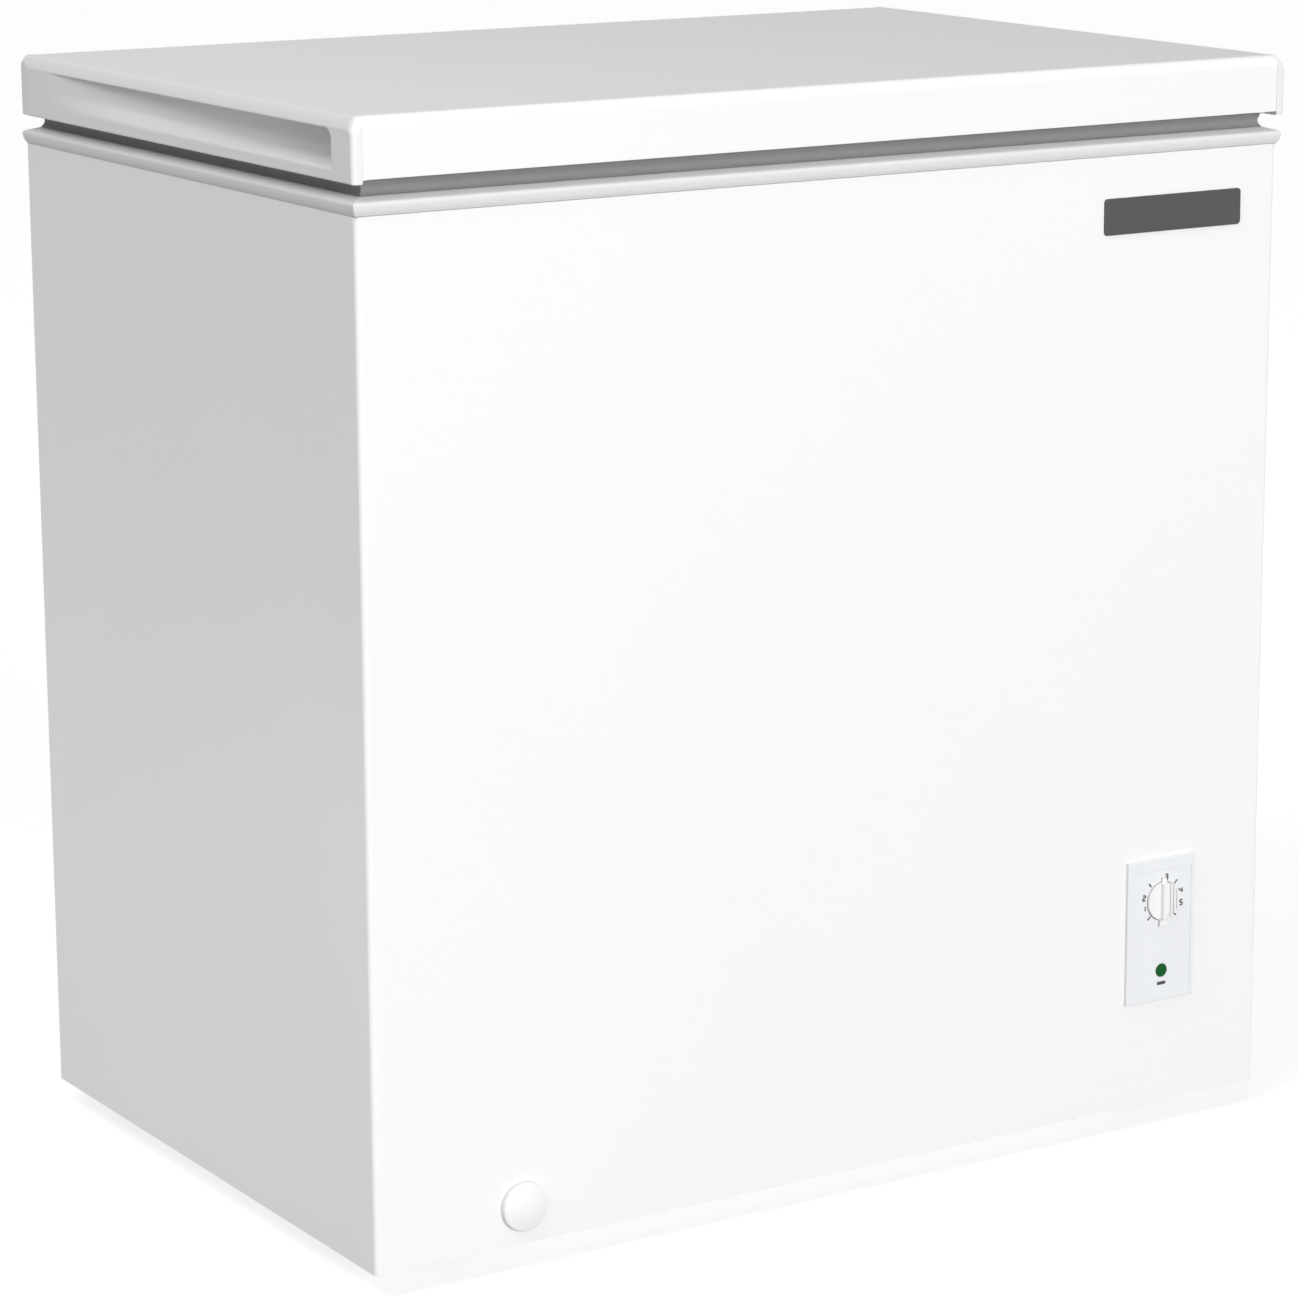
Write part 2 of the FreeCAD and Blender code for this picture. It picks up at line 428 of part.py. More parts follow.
knob = knob.cut(cyl((KNOB_X, fy - 2.1, KNOB_Z), (0, 1, 0), 3.08, 17.2).cut(box(KNOB_X - 4, KNOB_X + 4, fy - 3, fy + 5.1, KNOB_Z + 1.88, KNOB_Z + 5)))
sensor = tube([(KNOB_X - 12, fy + 27, KNOB_Z + 22), (KNOB_X - 12, fy + 27, 240), (KNOB_X - 30, fy + 60, 252), (KNOB_X - 30, fy + 60, 262),
               (KNOB_X - 30, fy + 60, 300)], 1.1, 10)
sensor = fuse(sensor, cyl((KNOB_X - 30, fy + 60, 300), (0, 0, 1), 2.2, 28.6))
sx_, sy_ = KNOB_X - 30, fy + 60
foam = foam.cut(cyl((sx_, sy_, 260), (0, 0, 1), 2.3, 72))
bulk = bulk.cut(cyl((sx_, sy_, ROOM_Z - 2), (0, 0, 1), 1.6, 5))
wires = [tube([(KNOB_X - 7, fy + 48, KNOB_Z), (KNOB_X - 7, fy + 75, KNOB_Z), (KNOB_X - 50, -60, 215), (tc[0] + 16, 60, 215), (tc[0] + 16, CYc, 190), (tc[0] + 16, CYc, 142)], 2.2, 16),
         tube([(KNOB_X + 7, fy + 48, KNOB_Z - 6), (KNOB_X + 7, fy + 62, KNOB_Z - 8), (KNOB_X + 3.5, fy + 40, LAMP_Z + 8), (KNOB_X + 3.5, fy + 33, LAMP_Z), (KNOB_X + 3.5, fy + 25, LAMP_Z)], 1.6, 8)]
badge = box(BADGE[0], BADGE[1], fy - 1.6, fy, BADGE[2], BADGE[3])
bp = [e for e in badge.Edges if abs(e.BoundBox.YLength - 1.6) < 1e-3]
badge = badge.makeFillet(3.0, bp)
be = [e for e in badge.Edges if abs(e.BoundBox.YMax - (fy - 1.6)) < 1e-3]
badge = badge.makeFillet(0.5, be)

# ------------------------------------------------------------------ grille, rear cover, gland, feet
y0, y1, z0, z1 = GR
grille = box(XO, XO + 1.5, y0, y1, z0, z1)
ge = [e for e in grille.Edges if all(abs(v.X - XO - 1.5) < 1e-6 for v in e.Vertexes)]
grille = grille.makeFillet(0.7, ge)
for i in range(11):
    zz = z0 + 19 + 11.6 * i
    slot = prism_yz([(y0 + 18, zz), (y1 - 18, zz), (y1 - 18, zz + 5.4), (y0 + 18, zz + 5.4)], XO - 1, XO + 4)
    grille = grille.cut(slot)
rear = box(184, 402, YO, YO + 1.5, 30, 260)
for i in range(13):
    zz = 58 + 14.0 * i
    for xa, xb in ((212, 284), (302, 374)):
        rear = rear.cut(box(xa, xb, YO - 1, YO + 3, zz, zz + 5))
GLX, GLZ = 199.0, 46.0
rear = rear.cut(cyl((GLX + 4, YO - 1, GLZ), (0, 1, 0), 6.5, 5))
gland = fuse(cyl((GLX + 4, YO + 1.5, GLZ), (0, 1, 0), 9.5, 3.5), cyl((GLX + 4, YO - 8, GLZ), (0, 1, 0), 6.4, 9.5),
             Part.makeCone(8.0, 6.2, 9.0, V(GLX + 4, YO + 5.0, GLZ), V(0, 1, 0)))
gland = gland.cut(cyl((GLX + 4, YO - 9, GLZ), (0, 1, 0), 4.0, 30))
FX, FY = XO - 78, YO - 78
foot_at = [(-FX, -FY), (-FX, FY), (FX, -FY), (FX, FY)]
feet = []
for x, y in foot_at:
    f = Part.makeCone(22.0, 26.0, 16.0, V(x, y, 0), V(0, 0, 1)).fuse(cyl((x, y, 16), (0, 0, 1), 26.0, 4.0))
    f = f.removeSplitter()
    f = f.cut(cyl((x, y, 3), (0, 0, 1), 9.0, 12.0).fuse(cyl((x, y, -1), (0, 0, 1), 9.0, 5)))
    feet.append(f)

# ------------------------------------------------------------------ hinges
def circ_poly(cy_, cz_, r, a0, a1, n=14):
    return [(cy_ + r * math.cos(math.radians(a0 + (a1 - a0) * i / n)), cz_ + r * math.sin(math.radians(a0 + (a1 - a0) * i / n))) for i in range(n + 1)]


def hinge(xc):
    hz0 = 650.0
    web = box(xc - 23, xc + 23, 295, 297, hz0, 781)
    walls = []
    for s in (-1, 1):
        xa, xb = sorted((xc + s * 21, xc + s * 23))
        low = box(xa, xb, YO, 297, hz0, 781)
        ear = prism_yz([(271.5, 780), (297, 780), (297, 790), (295, 796), (273, 796), (271.5, 790)], xa, xb)
        ear = ear.fuse(cyl((xa, PIVOT_Y, PIVOT_Z), (1, 0, 0), 11.0, 2.0))
        walls.append(low.fuse(ear))
        fa, fb = sorted((xc + s * 21, xc + s * 41))
        walls.append(box(fa, fb, YO, YO + 2, hz0, 781))
    seat = box(xc - 22, xc + 22, YO, 296, hz0, hz0 + 2)
    h = fuse(web, seat, *walls)
    h = h.cut(cyl((xc - 30, PIVOT_Y, PIVOT_Z), (1, 0, 0), 4.0, 60))
    pin = fuse(cyl((xc - 23.2, PIVOT_Y, PIVOT_Z), (1, 0, 0), 3.95, 46.4), cyl((xc - 25.2, PIVOT_Y, PIVOT_Z), (1, 0, 0), 6.0, 2.0),
               cyl((xc + 23.2, PIVOT_Y, PIVOT_Z), (1, 0, 0), 6.0, 2.0))
    # lid arm: plate on the lid's rear face and two cheeks that run inside the ears
    arm = [box(xc - 38, xc + 38, LID_REAR, LID_REAR + 2, 812, 843)]
    for s in (-1, 1):
        xa, xb = sorted((xc + s * 18.5, xc + s * 20.5))
        ch = prism_yz([(LID_REAR, 812), (LID_REAR, 843), (280, 843), (293.0, 800), (293.0, 796), (275.0, 796)], xa, xb)
        ch = ch.fuse(cyl((xa, PIVOT_Y, PIVOT_Z), (1, 0, 0), 9.0, 2.0))
        arm.append(ch)
    arm = fuse(*arm).cut(cyl((xc - 30, PIVOT_Y, PIVOT_Z), (1, 0, 0), 4.0, 60))
    # cam: involute flank, so that the flat plunger rises in proportion to the lid's angle
    pts = []
    for i in range(19):
        a = math.radians(-2 + 86.0 * i / 18)
        h_ = CAM_H0 - CAM_K * a
        pts.append((PIVOT_Y + h_ * math.sin(a) - CAM_K * math.cos(a), PIVOT_Z - h_ * math.cos(a) - CAM_K * math.sin(a)))
    a = math.radians(84)
    last = pts[-1]
    pts.append((last[0] + 11.5 * math.cos(a), last[1] + 11.5 * math.sin(a)))
    pts += [(PIVOT_Y + 3.0, PIVOT_Z + 9.0), (PIVOT_Y - 7.0, PIVOT_Z + 9.0), (PIVOT_Y - 9.0, PIVOT_Z + 5.0), (PIVOT_Y - 9.0, PIVOT_Z - 9.0)]
    pts.append((PIVOT_Y - 7.0, PIVOT_Z - CAM_H0 + 0.1))
    cam = prism_yz(pts, xc - 18.3, xc + 18.3)
    cam = cam.cut(cyl((xc - 30, PIVOT_Y, PIVOT_Z), (1, 0, 0), 4.0, 60))
    top = PIVOT_Z - CAM_H0 - 0.3
    pl = box(xc - 18, xc + 18, 271.8, 294.2, top - 20, top)
    pl = fuse(pl, cyl((xc, 283, top - 36), (0, 0, 1), 6.2, 17))
    # compression spring on the spigot, closed down on the seat plate
    z0s, z1s = hz0 + 2 + 1.6, top - 20 - 1.6
    hx = Part.makeHelix((z1s - z0s) / 9.0, z1s - z0s, 8.6)
    prof_ = Part.Wire(Part.makeCircle(1.3, V(8.6, 0, 0), V(0, 1, 0.19)))
    sp = Part.Wire(hx).makePipeShell([prof_], True, True)
    if sp.Volume < 0:
        sp = sp.reversed()
    sp.translate(V(xc, 283, z0s))
    return h, pin, arm, cam, pl, sp


screws, lid_screws = [], []
for tag, xc in (("left", -HINGE_X), ("right", HINGE_X)):
    h, pin, arm, cam, pl, sp = hinge(xc)
    for s in (-1, 1):
        for zz in (672.0, 762.0):
            p = (xc + s * 32, YO + 2, zz)
            h = h.cut(hole(p, (0, -1, 0), 1.9))
            back = back.cut(hole(p, (0, -1, 0), 1.9))
            foam = foam.cut(cyl(p, (0, -1, 0), 1.95, 10.5))
            screws.append(screw(p, (0, -1, 0), 10.0))
        for zz in (820.0, 838.0):
            p = (xc + s * 30, LID_REAR + 2, zz)
            arm = arm.cut(hole(p, (0, -1, 0), 1.9))
            lid_screws.append((p, (0, -1, 0)))
    add("hinge_housing_" + tag, h)
    add("hinge_pin_" + tag, pin)
    add("hinge_arm_" + tag, arm)
    add("hinge_cam_" + tag, cam)
    add("hinge_plunger_" + tag, pl)
    add("hinge_spring_" + tag, sp)

# other cabinet screws
for y, z in ((y0 + 7, z0 + 8), (y1 - 7, z0 + 8), (y0 + 7, z1 - 8), (y1 - 7, z1 - 8)):
    p = (XO + 1.5, y, z)
    grille = grille.cut(hole(p, (-1, 0, 0)))
    wrap = wrap.cut(hole(p, (-1, 0, 0)))
    screws.append(screw(p, (-1, 0, 0), 9.0))
for x, z in ((188.5, 35), (397, 35), (188.5, 255), (397, 255), (292.5, 35), (292.5, 255)):
    p = (x, YO + 1.5, z)
    rear = rear.cut(hole(p, (0, -1, 0)))
    back = back.cut(hole(p, (0, -1, 0)))
    plate = plate.cut(cyl((x, YO, z), (0, -1, 0), 2.4, 8.0))
    screws.append(screw(p, (0, -1, 0), 8.0))
newfeet = []
for (x, y), f in zip(foot_at, feet):
    p = (x, y, 15.0)
    f = f.cut(cyl((x, y, 10), (0, 0, 1), 1.9, 14))
    screws.append(screw(p, (0, 0, 1), 14.0))
    base = base.cut(cyl(p, (0, 0, 1), 1.9, 12))
    plate = plate.cut(cyl(p, (0, 0, 1), 1.9, 12))
    foam = foam.cut(cyl(p, (0, 0, 1), 1.95, 15))
    newfeet.append(f)

# ------------------------------------------------------------------ lid
def lid_profile(off, bottom):
    """Side profile of the lid skin, inset by off."""
    rf, rr = 8.0 - off, 6.0 - off
    yf, yr, zt = LID_FRONT + off, LID_REAR - off, LID_TOP - off
    q = math.sqrt(0.5)
    e = [Part.LineSegment(V(0, yf, bottom), V(0, yf, zt - rf)).toShape(),
         Part.Arc(V(0, yf, zt - rf), V(0, yf + rf - rf * q, zt - rf + rf * q), V(0, yf + rf, zt)).toShape(),
         Part.LineSegment(V(0, yf + rf, zt), V(0, yr - rr, zt)).toShape(),
         Part.Arc(V(0, yr - rr, zt), V(0, yr - rr + rr * q, zt - rr + rr * q), V(0, yr, zt - rr)).toShape(),
         Part.LineSegment(V(0, yr, zt - rr), V(0, yr, bottom)).toShape(),
         Part.LineSegment(V(0, yr, bottom), V(0, yf, bottom)).toShape()]
    return Part.Face(Part.Wire(e))


skin = lid_profile(0, SKIN_BOTTOM).extrude(V(2 * SEAM_X, 0, 0))
skin.translate(V(-SEAM_X, 0, 0))
hollow = lid_profile(T, SKIN_BOTTOM + T).extrude(V(2 * SEAM_X + 2, 0, 0))
hollow.translate(V(-SEAM_X - 1, 0, 0))
skin = skin.cut(hollow).cut(box(-SEAM_X - 1, SEAM_X + 1, LID_FRONT + 16, LID_REAR - 16, SKIN_BOTTOM - 1, SKIN_BOTTOM + T + 0.1))

REC_Y0, REC_Y1 = -242.0, 212.0       # finger recess, front end and fading rear end
REC_Z0, REC_Z1 = 814.5, 840.0
REC_D = 24.0


def recess_section(y, d):
    """Closed outline of the scoop at one station, for the left cap: flat ceiling, upright back, swept-out foot."""
    xo = -CAP_X
    out = xo - 6.0
    zt, zb = REC_Z1, REC_Z0
    h_ = zt - zb
    c = [V(out, y, zt), V(xo + d, y, zt), V(xo + d, y, zt - 0.38 * h_)]
    sp_ = Part.BSplineCurve()
    sp_.interpolate([V(xo + d, y, zt - 0.38 * h_), V(xo + 0.93 * d, y, zt - 0.56 * h_), V(xo + 0.62 * d, y, zt - 0.78 * h_), V(xo + 0.18 * d, y, zt - 0.95 * h_), V(xo - 0.5, y, zb - 0.6)])
    return Part.Wire([Part.LineSegment(c[0], c[1]).toShape(), Part.LineSegment(c[1], c[2]).toShape(), sp_.toShape(),
                      Part.LineSegment(V(xo - 0.5, y, zb - 0.6), V(out, y, zb - 0.6)).toShape(), Part.LineSegment(V(out, y, zb - 0.6), c[0]).toShape()])


def cap_left():
    R = 8.0
    xo = -CAP_X
    band = box(xo, -SEAM_X, CAP_FRONT, CAP_REAR, CAP_BOTTOM, LID_TOP)
    # long top edge, then the small front and rear top corners
    band = band.cut(box(xo - 1, xo + R, CAP_FRONT - 2, CAP_REAR + 2, LID_TOP - R, LID_TOP + 2).cut(cyl((xo + R, CAP_FRONT - 3, LID_TOP - R), (0, 1, 0), R, CAP_REAR - CAP_FRONT + 6)))
    for yc, y_a, y_b, r_ in ((CAP_FRONT + 8.0, CAP_FRONT - 1, CAP_FRONT + 8.0, 8.0), (CAP_REAR - 3.0, CAP_REAR - 3.0, CAP_REAR + 1, 3.0)):
        band = band.cut(box(xo - 1, -SEAM_X + 1, y_a, y_b, LID_TOP - r_, LID_TOP + 1).cut(cyl((xo - 2, yc, LID_TOP - r_), (1, 0, 0), r_, 14)))
    # housing of the recess, behind the face
    hous = prism_xy([(-SEAM_X - 1, REC_Y0 - 4), (xo + REC_D + 3.5, REC_Y0 - 4), (xo + REC_D + 3.5, REC_Y0 + 10), (-SEAM_X + 2.0, REC_Y1 - 18), (-SEAM_X - 1, REC_Y1 - 18)], SKIN_BOTTOM + T + 1.4, 845.5)
    tongue = box(-SEAM_X - 0.5, -SEAM_X + 6, LID_FRONT + 3, LID_REAR - 6, SKIN_BOTTOM + T + 1.4, 832)
    tongue = tongue.cut(box(-SEAM_X + 2.2, -SEAM_X + 7, LID_FRONT + 5.2, LID_REAR - 8.2, SKIN_BOTTOM, 829.8))
    body_ = fuse(band, hous, tongue)
    n = 7
    secs = []
    for i in range(n):
        t = i / (n - 1.0)
        y = REC_Y0 + (REC_Y1 - REC_Y0) * t
        d = REC_D * (1 - t) ** 1.15 + 0.05
        secs.append(recess_section(y, d))
    scoop = Part.makeLoft(secs, True, False)
    if scoop.Volume < 0:
        scoop = scoop.reversed()
    return body_.cut(scoop), scoop, hous


capL, scoopL, housL = cap_left()
capR = capL.mirror(V(0, 0, 0), V(1, 0, 0))
housR = housL.mirror(V(0, 0, 0), V(1, 0, 0))

# lid inner panel with a shallow plug that hangs into the opening
def frustum(hx0, hy0, z0_, hx1, hy1, z1_, cy_=0.0):
    a = [(-hx0, -hy0 + cy_, z0_), (hx0, -hy0 + cy_, z0_), (hx0, hy0 + cy_, z0_), (-hx0, hy0 + cy_, z0_)]
    b = [(-hx1, -hy1 + cy_, z1_), (hx1, -hy1 + cy_, z1_), (hx1, hy1 + cy_, z1_), (-hx1, hy1 + cy_, z1_)]
    fs = [face(a), face(b)] + [face([a[k], a[(k + 1) % 4], b[(k + 1) % 4], b[k]]) for k in range(4)]
    s = Part.Solid(Part.Shell(fs))
    return s if s.Volume > 0 else s.reversed()


LP_TOP, LP_BOT = SKIN_BOTTOM, SKIN_BOTTOM - 1.6
plug_out = frustum(334, 197, LP_BOT, 326, 189, 793.0)
plug_in = frustum(332.4, 195.4, LP_BOT, 324.6, 187.6, 794.6)
lp = box(-396, 396, -258.6, 255.0, LP_BOT, LP_TOP)
lid_liner = fuse(lp, plug_out).cut(fuse(plug_in, box(-332.4, 332.4, -195.4, 195.4, LP_BOT, LP_TOP + 1)))
lfoam = lid_profile(T, SKIN_BOTTOM + T).extrude(V(2 * (SEAM_X - 0.6), 0, 0))
lfoam.translate(V(-SEAM_X + 0.6, 0, 0))
lfoam = fuse(lfoam, box(-332.3, 332.3, -195.3, 195.3, LP_BOT, SKIN_BOTTOM + T + 0.5), plug_in)
clear = box(-SEAM_X - 1, -SEAM_X + 6.4, LID_FRONT + 2.6, LID_REAR - 5.6, SKIN_BOTTOM, 832.4)
for c_, h_ in ((clear, housL), (clear.mirror(V(0, 0, 0), V(1, 0, 0)), housR)):
    lfoam = lfoam.cut(c_).cut(h_)
gas = ring([(8.0, 794.6), (8.6, 795.6), (9.5, 797.2), (10.2, 799.6), (10.3, 802.4), (9.6, LP_BOT), (27.0, LP_BOT), (25.4, 802.0), (25.2, 799.0), (26.2, 796.4), (27.2, 794.6)])
gas = gas.cut(ring([(13.2, 796.8), (13.2, 802.6), (22.4, 802.6), (22.4, 796.8)]))

made = []
for p, d in lid_screws:
    skin = skin.cut(hole(p, d, 1.9))
    lfoam = lfoam.cut(cyl(p, d, 1.95, 12.5))
    made.append(screw(p, d, 12.0))
for sgn in (-1, 1):
    for y in (-262.0, 258.0):
        p = (sgn * (SEAM_X - 6.0), y + (3 if y < 0 else -3), SKIN_BOTTOM)
        lp_clear = cyl((p[0], p[1], SKIN_BOTTOM - 3), (0, 0, 1), 4.4, 3)
        skin = skin.cut(hole(p, (0, 0, 1)))
        lfoam = lfoam.cut(cyl((p[0], p[1], SKIN_BOTTOM), (0, 0, 1), 1.95, 13))
        hole_ = cyl((p[0], p[1], SKIN_BOTTOM - 1), (0, 0, 1), 1.9, 14)
        capL, capR = capL.cut(hole_), capR.cut(hole_)
        lid_liner = lid_liner.cut(lp_clear)
        gas = gas.cut(cyl((p[0], p[1], LP_BOT - 1.2), (0, 0, 1), 4.5, 3))
        made.append(screw(p, (0, 0, 1), 9.0))

# ------------------------------------------------------------------ wire basket, hung on the front and rear ledges
BX0, BX1 = 116.0, 336.0
BY = 192.0
BZ0, BZ1 = 590.0, 778.0
WR, RR = 1.6, 2.6


def bar_(p, q, r):
    P, Q = V(*p), V(*q)
    return Part.makeCylinder(r, (Q - P).Length, P, Q - P)


def grid(horiz, vert):
    return fuse(*(horiz + vert))


def panel_y(y):
    hs = [bar_((BX0, y, z), (BX1, y, z), WR) for z in (BZ0, BZ0 + 45, BZ0 + 90, BZ0 + 135)] + [bar_((BX0, y, BZ1), (BX1, y, BZ1), RR)]
    yi = y - math.copysign(1.4, y)
    vs = [bar_((BX0 + 2 + (BX1 - BX0 - 4) * i / 8.0, yi, BZ0 + 0.5), (BX0 + 2 + (BX1 - BX0 - 4) * i / 8.0, yi, BZ1), WR) for i in range(9)]
    return grid(hs, vs)


def panel_x(x0_):
    x, xi = BX1, BX1 - 1.4
    a, b = -BY + 3.1, BY - 3.1
    hs = [bar_((x, a, z), (x, b, z), WR) for z in (BZ0 + 45, BZ0 + 90, BZ0 + 135)] + [bar_((x, a, BZ1), (x, b, BZ1), RR)]
    vs = [bar_((xi, -BY + 2 * BY * i / 14.0, BZ0 + 2 * WR), (xi, -BY + 2 * BY * i / 14.0, BZ1), WR) for i in range(1, 14)]
    g = grid(hs, vs)
    if x0_ < BX1:
        g = g.mirror(V((BX0 + BX1) / 2, 0, 0), V(1, 0, 0))
    return g


def floor_():
    a, b = -BY + 3.1, BY - 3.1
    xs = [bar_((BX0 + 2 + (BX1 - BX0 - 4) * i / 8.0, a, BZ0), (BX0 + 2 + (BX1 - BX0 - 4) * i / 8.0, b, BZ0), WR) for i in range(9)]
    ys = [bar_((BX0 + 0.4, -BY + 2 * BY * i / 14.0, BZ0 - 1.4), (BX1 - 0.4, -BY + 2 * BY * i / 14.0, BZ0 - 1.4), WR) for i in range(1, 14)]
    return grid(xs, ys)


hang = []
for s in (-1, 1):
    yb = s * (BY + RR + 2.4 + 0.1)
    zc = LEDGE_Z + 2.4 + 0.35
    hang.append(tube([(BX0 + 40, yb, BZ1 - 16), (BX0 + 40, yb, zc), (BX0 + 40, s * 214.0, zc), (BX1 - 40, s * 214.0, zc), (BX1 - 40, yb, zc), (BX1 - 40, yb, BZ1 - 16)], 2.4, 6.0))
hang = [fuse(hang[i], *[box(x - 3, x + 3, *sorted((s * (BY - 0.0) + s * RR + s * 0.05, s * (BY + RR + 3.0))), BZ1 - 17, BZ1 - 8) for x in (BX0 + 40, BX1 - 40)]) for i, s in ((0, -1), (1, 1))]

# ------------------------------------------------------------------ export
for name, shape in (("outer_wrap", wrap), ("back_panel", back), ("base_pan", base), ("bulkhead", bulk), ("foam_insulation", foam),
                    ("inner_liner", liner), ("top_frame", frame), ("evaporator_coil", evap), ("condenser_coil", cond),
                    ("compressor_base_plate", plate), ("compressor", can), ("compressor_mounts", Part.makeCompound(mounts)),
                    ("compressor_bolts", Part.makeCompound(bolts)), ("terminal_cover", cover), ("start_relay", relay), ("filter_drier", drier),
                    ("refrigerant_pipes", pipes), ("capillary_tube", capil), ("side_grille", grille), ("rear_access_cover", rear),
                    ("thermostat", th), ("sensor_tube", sensor), ("control_panel", panel), ("indicator_lens", lens), ("indicator_lamp", lamp),
                    ("name_badge", badge), ("drain_tube", drain), ("cord_gland", gland), ("feet", Part.makeCompound(newfeet)),
                    ("body_screws", Part.makeCompound(screws)), ("wiring_harness", Part.makeCompound(wires)),
                    ("lid_skin", skin), ("lid_foam", lfoam), ("lid_liner", lid_liner), ("lid_gasket", gas), ("lid_cap_left", capL),
                    ("lid_cap_right", capR), ("lid_screws", Part.makeCompound(made)), ("thermostat_knob", knob), ("thermostat_shaft", shaft),
                    ("drain_cap", cap), ("drain_plug", plug), ("basket_front", panel_y(-BY)), ("basket_rear", panel_y(BY)),
                    ("basket_left", panel_x(BX0)), ("basket_right", panel_x(BX1)), ("basket_floor", floor_()), ("basket_hangers", Part.makeCompound(hang))):
    add(name, shape)

allbox = FreeCAD.BoundBox()
for name in sorted(NODES):
    s = NODES[name].copy()
    s.translate(V(0, Y_SHIFT, 0))
    bad = [i for i, q in enumerate(s.Solids) if not q.isValid() or q.Volume <= 0]
    if bad or not s.Solids:
        print("BAD", name, len(s.Solids), bad, [round(q.Volume) for q in s.Solids][:6])
    allbox.add(s.BoundBox)
    s.exportStep("parts/" + name + ".step")
print(len(NODES), "nodes", allbox)
for name in sorted(NODES):
    s = NODES[name]
    print(name, len(s.Solids), "solids", round(sum(q.Volume for q in s.Solids) / 1000.0, 1), "cm3")
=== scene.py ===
import bpy
import bmesh
import math
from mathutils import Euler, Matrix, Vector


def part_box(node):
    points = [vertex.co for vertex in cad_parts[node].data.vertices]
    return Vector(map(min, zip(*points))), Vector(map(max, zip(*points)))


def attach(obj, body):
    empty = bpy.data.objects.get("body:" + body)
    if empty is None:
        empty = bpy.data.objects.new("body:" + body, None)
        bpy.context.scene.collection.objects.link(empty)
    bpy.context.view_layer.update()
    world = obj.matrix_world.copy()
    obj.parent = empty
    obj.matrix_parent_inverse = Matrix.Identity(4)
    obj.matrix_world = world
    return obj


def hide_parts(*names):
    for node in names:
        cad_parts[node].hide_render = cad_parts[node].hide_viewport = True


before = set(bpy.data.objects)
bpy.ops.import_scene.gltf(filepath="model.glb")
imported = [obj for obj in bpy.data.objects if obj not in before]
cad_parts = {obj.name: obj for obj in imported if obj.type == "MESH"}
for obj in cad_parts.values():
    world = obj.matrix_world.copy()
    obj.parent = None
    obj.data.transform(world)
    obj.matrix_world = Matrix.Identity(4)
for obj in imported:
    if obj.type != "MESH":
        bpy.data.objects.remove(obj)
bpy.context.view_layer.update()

MM = 0.001


# ------------------------------------------------------------------ materials
def sock(node, *names):
    for n in names:
        if n in node.inputs:
            return node.inputs[n]
    raise KeyError(names)


